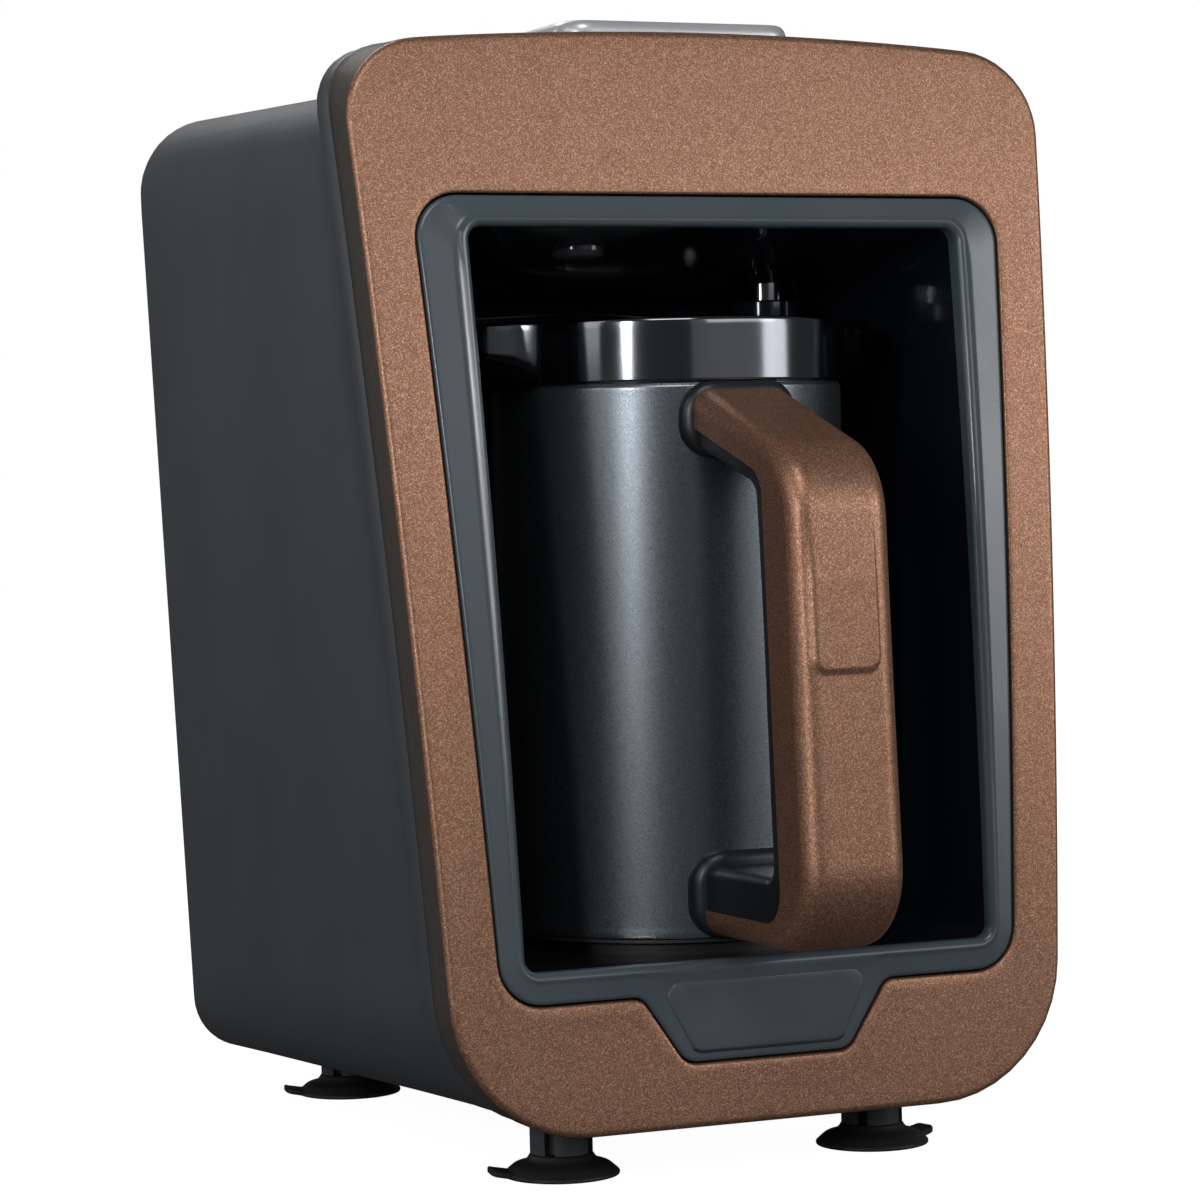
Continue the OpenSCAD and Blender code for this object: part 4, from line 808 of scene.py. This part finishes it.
class COFFEE_OT_niche(bpy.types.Operator):
    """Make the polished niche, its light, the rim sensor and the pad under the pot"""

    bl_idname = "coffee.niche"
    bl_label = "Niche"

    def execute(self, context):
        """Rings of the niche's section run from the mouth to the rounded back edge; the ceiling
        falls evenly to the back. A second skin a wall's thickness outside closes the shell."""
        mid = (0.0, 120.0)
        fall, wall, edge_r = 12.7, 2.0, 4.0
        back = span("pot_plug")[1][1] - 10.0
        front = front_y(MOUTH_TOP)

        def outline(y, g, r):
            """The niche's section at a place along Y, grown by g."""
            top = MOUTH_TOP - fall * (y - front) / (back - front)
            half = 55.0 + 3.2 * (top - MOUTH_LOW) / (MOUTH_TOP - MOUTH_LOW)
            return grow(trapezoid(MOUTH_LOW, 55.0, top, half, r, r), g)

        angles = shared_angles([outline(front, 0, 3), outline(back, 0, 3)], mid, 0.012)

        def ring(t, g, r, y_back):
            """The section at a share t of the way back, its front end following the bowed front."""
            flat = around(outline(front * (1 - t) + back * t, g, r), mid, angles)
            return standing(flat, (front_y(flat[:, 1]) + 2.5) * (1 - t) + y_back * t)

        inside = [ring(t, 0, 3.0 + t, back - edge_r) for t in np.linspace(0, 1, 9)]
        for s, c in quarter(7)[1:]:
            inside.append(ring(1, -edge_r * (1 - c), 4.0, back - edge_r * (1 - s)))
        outside = [ring(t, wall, 5.0, back + wall) for t in (1.0, 0.5, 0.0)]
        inner_mid, outer_mid = inside[-1].mean(0), outside[0].mean(0)
        inside += [inner_mid + (inside[-1] - inner_mid) * k for k in (0.66, 0.33)]
        outside = [outer_mid + (outside[0] - outer_mid) * k for k in (0.33, 0.66)] + outside
        skin = inside[::-1] + outside[::-1]
        gap = 0.3
        low, high = span("pot_plug")
        flat = rectangle((low[0] - gap, back - 6), (high[0] + gap, back + 6), 1.0, 4)
        slot = shell([lying(flat, z) for z in (low[2] - gap, high[2] + gap)])
        piece("niche", [shell(skin)], niche_black(), "machine", ["niche_liner"], [slot])

        x, y, r, z, top = round_solid("rim_sensor")
        tip = [[0, z + 0.6], [r - 2.2, z + 0.6], [r - 2.0, z], [r - 1.3, z], [r - 1.2, z + 1.0]]
        post = turned(tip + [[r, z + 1.2], [r, z + 9], [r, top], [0, top]], (x, y, 0), 0.4)
        piece("sensor_post", [post], rim_gloss(), "machine", ["rim_sensor"])
        z += 7.2
        near, away = r + 0.2, r + 3.0
        profile = [[near, z], [r + 2.4, z], [away, z + 1.6], [away, z + 6], [near, z + 6]]
        collar = turned(profile, (x, y, 0), 0.5, closed=True)
        piece("sensor_collar", [collar], niche_black(), "machine")

        x, y, r, z, top = round_solid("niche_light_lens")
        dome = [[0, z - 0.2], [r * 0.6, z], [r - 0.3, z + 0.6], [r, z + 1.6], [r, top], [0, top]]
        clear = moulded_finish("light_lens", (0.03, 0.032, 0.036), 0.08, 1.2, grains=500.0, bump=0.02)
        piece("light_lens", [turned(dome, (x, y, 0), 0.5)], clear, "machine", ["niche_light_lens"])

        r, z0, z1 = round_solid("dock_pad")[2:]
        rib, groove = ((1.2, 0), (0.3, 0)), ((0.1, 0.5), (-0.8, 0.5))
        ribs = [[q + d, z1 - h] for q in np.linspace(r - 2, 6, 9) for d, h in rib + groove]
        profile = [[0, z0], [r, z0], [r, z1 - 0.4], [r - 0.4, z1]] + ribs + [[0, z1 - 0.5]]
        mat = turned(profile, (0, POT_Y, 0))
        piece("pot_pad", [mat], soft_rubber(), "machine", ["dock_pad"])
        return {"FINISHED"}


class COFFEE_OT_pot(bpy.types.Operator):
    """Make the pot's lacquered shell and its polished rim band with two spouts"""

    bl_idname = "coffee.pot"
    bl_label = "Pot"

    def execute(self, context):
        """The shell is a turned wall. The band's radius is a circle's plus a spout bump, which is
        a cosine's power in angle times a quarter ellipse in height, outside and inside."""
        r0, r1 = 38.0, (span("pot_shell")[1][0] - span("pot_shell")[0][0]) / 2
        z0, z1 = POT_Z + 0.8, BAND_Z - 0.05
        wall = [[r0 - 1.0, z0], [r0, z0], [r0 + 0.05, z0 + 1.5]]
        wall += [[r0 + (r1 - r0) * t, z0 + (z1 - z0) * t] for t in np.linspace(0.02, 0.98, 12)]
        wall += [[r1, z1 - 1.0], [r1 - 0.35, z1 - 0.5], [r1 - 0.5, z1], [r1 - 1.0, z1]]
        body = turned(wall, (0, POT_Y, 0), 0.5, 4, closed=True, turns=160)
        piece("pot_wall", [body], pot_lacquer(), "pot", ["pot_shell"])

        turn = np.linspace(0, 2 * math.pi, 361)[:-1]
        off = np.abs(np.mod(turn + math.pi / 2, math.pi) - math.pi / 2)
        lobe = np.cos(np.clip(off / math.radians(25), 0, 1) * math.pi / 2) ** 1.7
        outer_r, bore_r, seat_r = 39.5, 35.4, 36.5
        outer_lobe, inner_lobe = 11.0 * lobe, 9.6 * lobe
        top = RIM_Z - BAND_Z

        def reach(h):
            """How far the spout stands out at a height in the band: a quarter ellipse, then upright."""
            return math.sqrt(max(0.0, 1 - (1 - min(h / (0.55 * top), 1)) ** 2))

        rows = [(outer_r - 0.25 + outer_lobe * reach(0.0), 0.0)]
        rows += [(outer_r + outer_lobe * reach(h), h) for h in [0.25, 0.6, *np.linspace(1.0, top - 0.8, 12)]]
        rows += [(outer_r + outer_lobe - 0.8 * (1 - c), top - 0.8 * (1 - s)) for s, c in quarter(5)[1:]]
        rows += [(bore_r + 0.6 * (1 - s) + inner_lobe, top - 0.6 * (1 - c)) for s, c in quarter(4)]
        rows += [(bore_r + inner_lobe * reach(h - 3.6), h) for h in np.linspace(top - 1.2, 4.2, 8)]
        rows += [(np.full_like(lobe, r), h) for r, h in ((bore_r, 3.2), (seat_r, 3.0), (seat_r, 0.0))]
        x, y = np.cos(turn), np.sin(turn)
        band = shell([lying(np.stack([r * x, r * y + POT_Y], 1), BAND_Z + h) for r, h in rows], wrap=True)
        piece("rim_band", [band], rim_gloss(), "pot", ["pot_rim_band"], crease=50)
        return {"FINISHED"}


def side_path(points, radii, count):
    """An open side view through the points with rounded corners, at an even spacing."""
    p = np.asarray(points, float)
    closed = rounded(np.concatenate([p, [[p[:, 0].max() + 500, p[:, 1].mean()]]]), list(radii) + [0], 12)
    first = int(np.argmin(np.linalg.norm(closed - p[0], axis=1)))
    line = np.roll(closed, -first, 0)
    last = int(np.argmin(np.linalg.norm(line - p[-1], axis=1)))
    line = line[: last + 1]
    along = np.concatenate([[0], np.cumsum(np.linalg.norm(np.diff(line, axis=0), axis=1))])
    s = np.linspace(0, along[-1], count)
    return np.stack([np.interp(s, along, line[:, 0]), np.interp(s, along, line[:, 1])], 1)


def across_handle(line, joint, half, edge, arc_steps, steps, seams=1):
    """Points across the handle at each station: from the joint up one side, over the line and down
    the other side. A quarter circle of the edge's radius sets how deep each point lies between the
    line and the joint, and seams is how many more points close each side. Gives X for each point,
    the places in side view and the directions from the line to the joint."""
    arc = np.linspace(0, math.pi / 2, arc_steps)
    across = np.linspace(half - edge, -half + edge, steps)[1:-1]
    x = np.concatenate([[half] * seams, half - edge + edge * np.cos(arc), across,
                        -half + edge - edge * np.sin(arc), [-half] * seams])
    deep = np.concatenate([edge - edge * np.sin(arc), np.zeros(len(across)), edge - edge * np.cos(arc)])
    reach = np.linalg.norm(line - joint, axis=1, keepdims=True)
    into = (joint - line) / reach
    flank = [np.ones_like(reach), np.minimum((edge + 0.6) / reach, 0.8)][:seams]
    share = np.hstack(flank + [np.minimum(deep / reach, 1.0)] + flank[::-1])
    return x, line[:, None] + into[:, None] * (share * reach)[:, :, None], into


def stations(x, side):
    """The handle's rings, of each point's X and its place in side view."""
    return np.stack([np.broadcast_to(x, side.shape[:2]), side[:, :, 0], side[:, :, 1]], -1)


class COFFEE_OT_handle(bpy.types.Operator):
    """Make the handle: a copper cover with soft edges and a raised pad, on a black core"""

    bl_idname = "coffee.handle"
    bl_label = "Handle"

    def execute(self, context):
        """Stations run from the upper root round the grip to the lower root. Each has an outer, a
        joint and an inner point in side view. The copper cover lies between the outer and the joint,
        and the black core between the inner and the joint, with a saddle at each root."""
        sizes = context.scene.coffee_sizes
        count = 300
        pot_r = 39.0
        root = POT_Y - pot_r
        top, low = BAND_Z - 0.6, POT_Z + 1.5
        grip_low, grip_top = HANDLE_Y + 0.5, HANDLE_Y + 5.1
        fall, drop = 16.3, 0.8
        slope = fall / (root + 7.2 - grip_top)
        outer = side_path([[root, top - drop], [grip_top, top - fall], [grip_low - 1.2, low],
                           [root - 0.5, low]], [0, 17, 17, 0], count)
        joint = side_path([[root, top - 8.6 - drop], [grip_top + 13.6, top - 23.0 + slope * 10.9],
                           [grip_low + 13.1, low + 5.6], [root - 0.5, low + 5.6]], [0, 7, 7, 0], count)
        inner = side_path([[root, top - 13.2 - drop], [grip_top + 18.2, top - 27.6 + slope * 18.2],
                           [grip_low + 17.7, low + 15.0], [root - 0.5, low + 15.0]], [0, 5, 4, 0], count)
        low_x, high_x = span("handle_cover")[0][0], span("handle_cover")[1][0]
        half, edge = (high_x - low_x) / 2, sizes.grip_edge / MM

        # The cover's raised pad: the distance to a rounded rectangle that is open at its top,
        # where the pad fades into the bend
        x, side, into = across_handle(outer, joint, half, edge, 13, 65, 2)
        z = side[:, :, 1]
        pad_low, pad_half, pad_x, pad_r = 109.5, 7.4, -0.7, 2.6
        fade_from, fade_over, rim = 146.0, 18.0, 0.4
        dx = np.abs(x - pad_x)[None, :] - (pad_half - pad_r)
        dz = (pad_low + pad_r) - z
        away = np.hypot(np.maximum(dx, 0), np.maximum(dz, 0)) + np.minimum(np.maximum(dx, dz), 0) - pad_r
        front = (np.abs(x) < half - edge + 2.6)[None, :] & (side[:, :, 0] < grip_top + 22)
        fade = np.clip((fade_from - z) / fade_over, 0, 1)
        lift = np.clip(0.5 - away / rim, 0, 1) * front * fade * sizes.grip_pad / MM
        cover = shell(stations(x, side - into[:, None] * lift[:, :, None]))
        piece("grip_cover", [cover], copper_flake(), "pot", ["handle_cover"], crease=55)

        x, side, into = across_handle(inner, joint, half - 0.5, 2.2, 6, 9)
        core = [shell(stations(x, side))]
        for z0, z1, wide in ((top - 14.8, top - 0.6, 12.6), (low + 0.4, low + 17.0, 12.5)):
            plate = rectangle((-wide, z0), (wide, z1), 6.0, 8)
            rows = []
            for g, out in ((1.2, -1.5), (1.2, 0.4), (0.9, 1.2), (0.2, 1.8), (-1.0, 2.1), (-4.0, 2.2)):
                flat = grow(plate, g)
                round_pot = np.sqrt(np.maximum((pot_r + out) ** 2 - flat[:, 0] ** 2, 1.0))
                rows.append(standing(flat, POT_Y - round_pot))
            core.append(shell(rows))
        piece("grip_core", core, satin_black(), "pot", ["handle_core"], crease=50)
        return {"FINISHED"}


class COFFEE_OT_controls(bpy.types.Operator):
    """Make the satin chrome control plate, the dished push button and its spring"""

    bl_idname = "coffee.controls"
    bl_label = "Controls"

    def execute(self, context):
        """The plate is a rounded rectangle whose rings close in as they rise; the button's profile
        is turned about its axis, with a shallow spherical dish."""
        low, high = span("control_plate")
        outline = rectangle(low, high, 7)
        hole = middle("power_button", 0), BUTTON_Y
        turn = angles_of(outline, hole)
        well_r, edge_r = 8.1, 1.9
        well = np.stack([hole[0] + well_r * np.cos(turn), hole[1] + well_r * np.sin(turn)], 1)
        z0, z1 = low[2], high[2]
        side_z = z0 + 0.4
        rows = [(outline, z0), (outline, side_z)]
        rows += [(grow(outline, -edge_r * (1 - c)), side_z + (z1 - side_z) * s) for s, c in quarter(8)[1:]]
        face = grow(outline, -edge_r)
        rows += [(face * (1 - t) + grow(well, 0.4) * t, z1) for t in (0.33, 0.66, 1.0)]
        rows += [(grow(well, 0.1), z1 - 0.1), (well, z1 - 0.4), (well, z0)]
        deck = shell([lying(flat, z) for flat, z in rows], wrap=True)
        piece("deck_plate", [deck], satin_chrome(), "machine", ["control_plate"])

        low, high = span("power_button")
        r, stem_r, foot_r, foot, top = 6.5, 2.0, 3.0, low[2], high[2]
        dish_r, dish_deep, hollow, skirt_low = r - 1.1, 0.55, top - 1.6, top - 5.4
        dish = [[q, top - dish_deep * (1 - (q / dish_r) ** 2)] for q in np.linspace(0.01, dish_r, 9)]
        wall_r = r - 1.6
        skirt = [[r - 0.5, top - 0.1], [r, top - 0.7], [r, skirt_low], [wall_r, skirt_low], [wall_r, hollow]]
        stem = [[stem_r, hollow], [stem_r, foot + 1.2], [foot_r, foot + 1.2], [foot_r, foot], [0, foot]]
        cap = turned([[0, dish[0][1]]] + dish + skirt + stem, (0, BUTTON_Y, 0), 0.3, 4, turns=72)
        piece("push_button", [cap], satin_chrome(), "button", ["power_button"])

        # spring: circles across the wire, carried along a helix from the well's floor to the cap
        outer_r, foot_z, head_z = round_solid("button_spring")[2:]
        wire, press, turns = 0.3, 1.5, 4
        radius, length = outer_r - wire, head_z - foot_z
        along = np.linspace(0, 1, 161)[:, None]
        a = along * turns * 2 * math.pi
        b = np.linspace(0, 2 * math.pi, 11)[:-1][None, :]
        out = radius + wire * np.cos(b)
        rise = foot_z + wire + (length - 2 * wire) * along + wire * np.sin(b)
        rings = np.stack([out * np.cos(a), out * np.sin(a) + BUTTON_Y, rise], -1)
        drawn = brushed_finish("spring_wire", (0.55, 0.55, 0.57), 0.25, (1, 1, 0.2), 1200.0)
        coil = piece("spring", [shell(rings)], drawn, "machine", ["button_spring"])
        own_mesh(coil)
        return {"FINISHED"}


class COFFEE_OT_feet(bpy.types.Operator):
    """Make the four suction cups with their pull tabs, and the cord gland"""

    bl_idname = "coffee.feet"
    bl_label = "Feet and gland"

    def execute(self, context):
        """Each cup is a turned profile, thin at its rim and hollow below, with a rounded tab."""
        for node in ("front_left_foot", "front_right_foot", "rear_left_foot", "rear_right_foot"):
            x = math.copysign(37.7, middle(node, 0))
            y = -42.5 if node.startswith("front") else 90.0
            top = span(node)[1][2]
            under = [[0, 1.9], [5.5, 1.6], [9.8, 0.5], [11.2, 0.0], [12.5, 0.15], [12.6, 0.8]]
            over = [[11.4, 1.9], [10.4, 2.7], [8.0, 3.4], [7.3, 4.1], [6.8, 5.0], [4.6, 5.05]]
            neck = [[4.6, top - 1.0], [3.6, top], [0, top]]
            cup = turned(under + over + neck, (x, y, 0), 0.5, 4, turns=72)
            tab = rounded([[11.0, -3.4], [16.0, -2.9], [16.0, 2.9], [11.0, 3.4]], [0.5, 1.4, 1.4, 0.5], 5)
            rise = np.clip((tab[:, 0] - 12.5) / 3.5, 0, 1) * 0.9
            a = math.radians(12 if x > 0 else 168)
            tab = tab @ [[math.cos(a), math.sin(a)], [-math.sin(a), math.cos(a)]] + [x, y]
            steps = ((0.15, -0.3), (0.4, 0), (1.3, 0), (1.6, -0.3))
            rows = [lying(grow(tab, g), rise + h) for h, g in steps]
            piece(node + "_cup", [cup, shell(rows)], soft_rubber(), "machine", [node])
        x, z = middle("cord_gland", 0), middle("cord_gland", 2)
        y0, y1 = (corner[1] for corner in span("cord_gland"))
        bore, stem_r, rim_r = 3.5, 6.0, 8.5
        inner_end = [[bore, y0], [5.2, y0], [stem_r, y0 + 2], [stem_r, y1 - 5.6]]
        rim = [[rim_r, y1 - 5.4], [rim_r, y1 - 2.6]]
        outer_end = [[stem_r, y1 - 2.5], [stem_r, y1 - 0.4], [5.4, y1], [4.3, y1], [bore, y1 - 1.2]]
        gland = turned(inner_end + rim + outer_end, (x, 0, z), 0.4, closed=True, turns=64, axis="Y")
        piece("gland", [gland], soft_rubber(), "machine", ["cord_gland"])
        return {"FINISHED"}


class COFFEE_OT_inner_parts(bpy.types.Operator):
    """Give the solids that stay their own materials"""

    bl_idname = "coffee.inner_parts"
    bl_label = "Inner parts"

    def execute(self, context):
        # each finish: its material and the solids that take it
        finishes = (
            (housing_grey(), "base_plate", "rear_panel"),
            (brushed_finish("screw_steel", (0.55, 0.56, 0.58), 0.32, (1, 1, 1), 900.0),
             "case_screws", "panel_screws", "fascia_screws", "board_screws", "handle_screws"),
            (brushed_finish("vessel_steel", (0.6, 0.6, 0.62), 0.24, (1, 1, 0.03), 2200.0), "pot_vessel"),
            (brushed_finish("element_sheath", (0.3, 0.27, 0.25), 0.45, (1, 1, 1), 700.0), "heating_element"),
            (brushed_finish("spreader_aluminium", (0.6, 0.61, 0.63), 0.35, (0.05, 1, 1), 1500.0),
             "heat_spreader"),
            (brushed_finish("pin_brass", (0.7, 0.5, 0.2), 0.25, (1, 0.1, 1), 1500.0), "dock_pins"),
            (moulded_finish("board_green", (0.02, 0.12, 0.05), 0.35, 1.6, grains=420.0, bump=0.1),
             "control_board", "main_board", "light_board"),
            (moulded_finish("socket_black", (0.02, 0.02, 0.022), 0.45, 1.4),
             "tact_switch", "buzzer", "dock_socket", "pot_plug", "pot_base_cover"),
            (moulded_finish("white_moulding", (0.62, 0.61, 0.57), 0.4, 1.1),
             "fuse_holder", "terminal_block", "cord_clamp"),
            (moulded_finish("ring_diffuser", (0.75, 0.78, 0.76), 0.3, 1.08), "button_light_ring"),
            (moulded_finish("transformer_tape", (0.5, 0.34, 0.06), 0.4, 1.3, grains=300.0), "transformer"),
            (moulded_finish("relay_blue", (0.03, 0.1, 0.38), 0.35, 1.2), "power_relay"),
            (moulded_finish("capacitor_sleeve", (0.03, 0.035, 0.05), 0.25, 1.4), "filter_capacitor"),
            (moulded_finish("wire_brown", (0.2, 0.07, 0.03), 0.4, 1.3), "mains_wires"),
            (moulded_finish("wire_red", (0.3, 0.02, 0.02), 0.4, 1.3), "dock_wires"),
            (moulded_finish("seal_silicone", (0.55, 0.55, 0.52), 0.5, 1.1), "pot_seal"),
            (moulded_finish("ceramic", (0.65, 0.62, 0.54), 0.5, 1.15, grains=600.0), "pot_thermostat"),
        )
        for material, *nodes in finishes:
            for node in nodes:
                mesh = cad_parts[node].data
                mesh.materials.clear()
                mesh.materials.append(material)
        return {"FINISHED"}


def by_ray(tree, camera, mirrored, other=0.0):
    """A strength for what the camera sees, one for what mirrors and glass show, and one for the rest."""
    path = add(tree, "LightPath").outputs
    in_mirror = maths(tree, "MAXIMUM", path["Is Glossy Ray"], path["Is Transmission Ray"])
    in_mirror = maths(tree, "MULTIPLY", in_mirror, mirrored - other)
    in_camera = maths(tree, "MULTIPLY", path["Is Camera Ray"], camera - other)
    return maths(tree, "ADD", maths(tree, "ADD", in_camera, in_mirror), other)


class COFFEE_OT_stage(bpy.types.Operator):
    """Set up the camera, the pale floor and the soft studio lamps"""

    bl_idname = "coffee.stage"
    bl_label = "Stage"

    def execute(self, context):
        scene = context.scene
        lens = bpy.data.cameras.new("view")
        lens.sensor_width = 36.0
        lens.lens = 117.0
        lens.clip_end = 20.0
        camera = bpy.data.objects.new("view", lens)
        scene.collection.objects.link(camera)
        turn, pitch, roll = math.radians(23.8), math.radians(1.777), math.radians(-1.375)
        ahead = Vector((math.sin(turn) * math.cos(pitch), math.cos(turn) * math.cos(pitch), -math.sin(pitch)))
        right = Vector((math.cos(turn), -math.sin(turn), 0.0))
        up = right.cross(ahead)
        right, up = right * math.cos(roll) + up * math.sin(roll), up * math.cos(roll) - right * math.sin(roll)
        place = Matrix((right, up, -ahead)).transposed().to_4x4()
        place.translation = Vector((-0.3649, -0.8120, 0.1496))
        camera.matrix_world = place
        scene.camera = camera

        points = np.array([[-3, -3, 0], [3, -3, 0], [3, 5, 0], [-3, 5, 0]], float)
        mesh = bpy.data.meshes.new("floor")
        mesh.from_pydata(points.tolist(), [], [[0, 1, 2, 3]])
        floor = bpy.data.objects.new("floor", mesh)
        scene.collection.objects.link(floor)
        pale = bpy.data.materials.new("floor_pale")
        pale.use_nodes = True
        tree = pale.node_tree
        main = tree.nodes["Principled BSDF"].inputs
        own, dim = rgb(scene.coffee_finish.floor), rgb(scene.coffee_finish.floor, 0.1)
        values = {"Roughness": 0.9, "Specular IOR Level": 0.1, "Emission Color": (1, 1, 1, 1),
                  "Base Color": mixed(tree, by_ray(tree, 0.0, 1.0), own, dim),
                  "Emission Strength": by_ray(tree, 0.97, 0.03)}
        for key, value in values.items():
            put(tree, main[key], value)
        mesh.materials.append(pale)

        world = bpy.data.worlds.new("studio")
        scene.world = world
        world.use_nodes = True
        sky = world.node_tree.nodes["Background"].inputs
        put(world.node_tree, sky["Color"], (1, 1, 1, 1))
        put(world.node_tree, sky["Strength"], by_ray(world.node_tree, 1.0, 0.07, 0.3))

        # each lamp: place, aim, width, height and radiance, where 1 shows as white
        lamps = (
            ("key", (-0.28, -0.8, 1.0), (0.0, -0.03, 0.16), 0.5, 0.5, 3.5),
            ("strip", (-0.84, -0.784, 0.34), (0.0, -0.02, 0.2), 0.1, 0.26, 27.0),
            ("softbox", (0.6, -1.2, 0.56), (0.0, -0.02, 0.18), 1.2, 0.4, 1.5),
            ("fill", (0.6, -1.5, 0.42), (0.0, -0.02, 0.13), 1.8, 0.7, 0.2),
            ("right", (1.16, -0.98, 0.42), (0.0, -0.02, 0.15), 0.5, 0.6, 2.9),
            ("left", (-1.25, -0.34, 0.6), (0.0, 0.03, 0.16), 0.5, 0.8, 1.35),
            ("rear left", (-1.05, 1.0, 0.4), (-0.05, 0.0, 0.13), 0.4, 0.7, 1.6),
            ("back", (-0.2, 1.2, 1.4), (0.0, 0.0, 0.15), 0.9, 0.6, 5.0),
        )
        for name, spot, aim, wide, high, radiance in lamps:
            data = bpy.data.lights.new(name, "AREA")
            data.shape = "RECTANGLE"
            data.size, data.size_y = wide, high
            data.energy = radiance * math.pi * wide * high
            lamp = bpy.data.objects.new(name, data)
            scene.collection.objects.link(lamp)
            lamp.location = spot
            lamp.rotation_euler = (Vector(aim) - Vector(spot)).to_track_quat("-Z", "Y").to_euler()
        scene.view_settings.view_transform = "Standard"
        return {"FINISHED"}


class COFFEE_PT_panel(bpy.types.Panel):
    """Lists the pieces and the sizes and colours behind them"""

    bl_idname = "COFFEE_PT_panel"
    bl_label = "Coffee Maker"
    bl_space_type = "VIEW_3D"
    bl_region_type = "UI"
    bl_category = "Coffee Maker"

    def draw(self, context):
        layout = self.layout
        for operator in OPERATORS:
            layout.operator(operator.bl_idname)
        for group in (context.scene.coffee_sizes, context.scene.coffee_finish):
            box = layout.box()
            for name in group.__annotations__:
                box.prop(group, name)


OPERATORS = (
    COFFEE_OT_stage, COFFEE_OT_fascia, COFFEE_OT_bezel, COFFEE_OT_housing, COFFEE_OT_niche, COFFEE_OT_pot,
    COFFEE_OT_handle, COFFEE_OT_controls, COFFEE_OT_feet, COFFEE_OT_inner_parts,
)
CLASSES = (CoffeeSizes, CoffeeFinish) + OPERATORS + (COFFEE_PT_panel,)


def register():
    """Registers the classes and hangs both groups of settings on the scene."""
    for item in CLASSES:
        bpy.utils.register_class(item)
    bpy.types.Scene.coffee_sizes = bpy.props.PointerProperty(type=CoffeeSizes)
    bpy.types.Scene.coffee_finish = bpy.props.PointerProperty(type=CoffeeFinish)


def unregister():
    """Takes back what register did."""
    del bpy.types.Scene.coffee_finish
    del bpy.types.Scene.coffee_sizes
    for item in reversed(CLASSES):
        bpy.utils.unregister_class(item)


def main():
    """Makes every piece in turn."""
    register()
    for operator in OPERATORS:
        group, name = operator.bl_idname.split(".")
        getattr(getattr(bpy.ops, group), name)()
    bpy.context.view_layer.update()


if __name__ == "__main__":
    main()
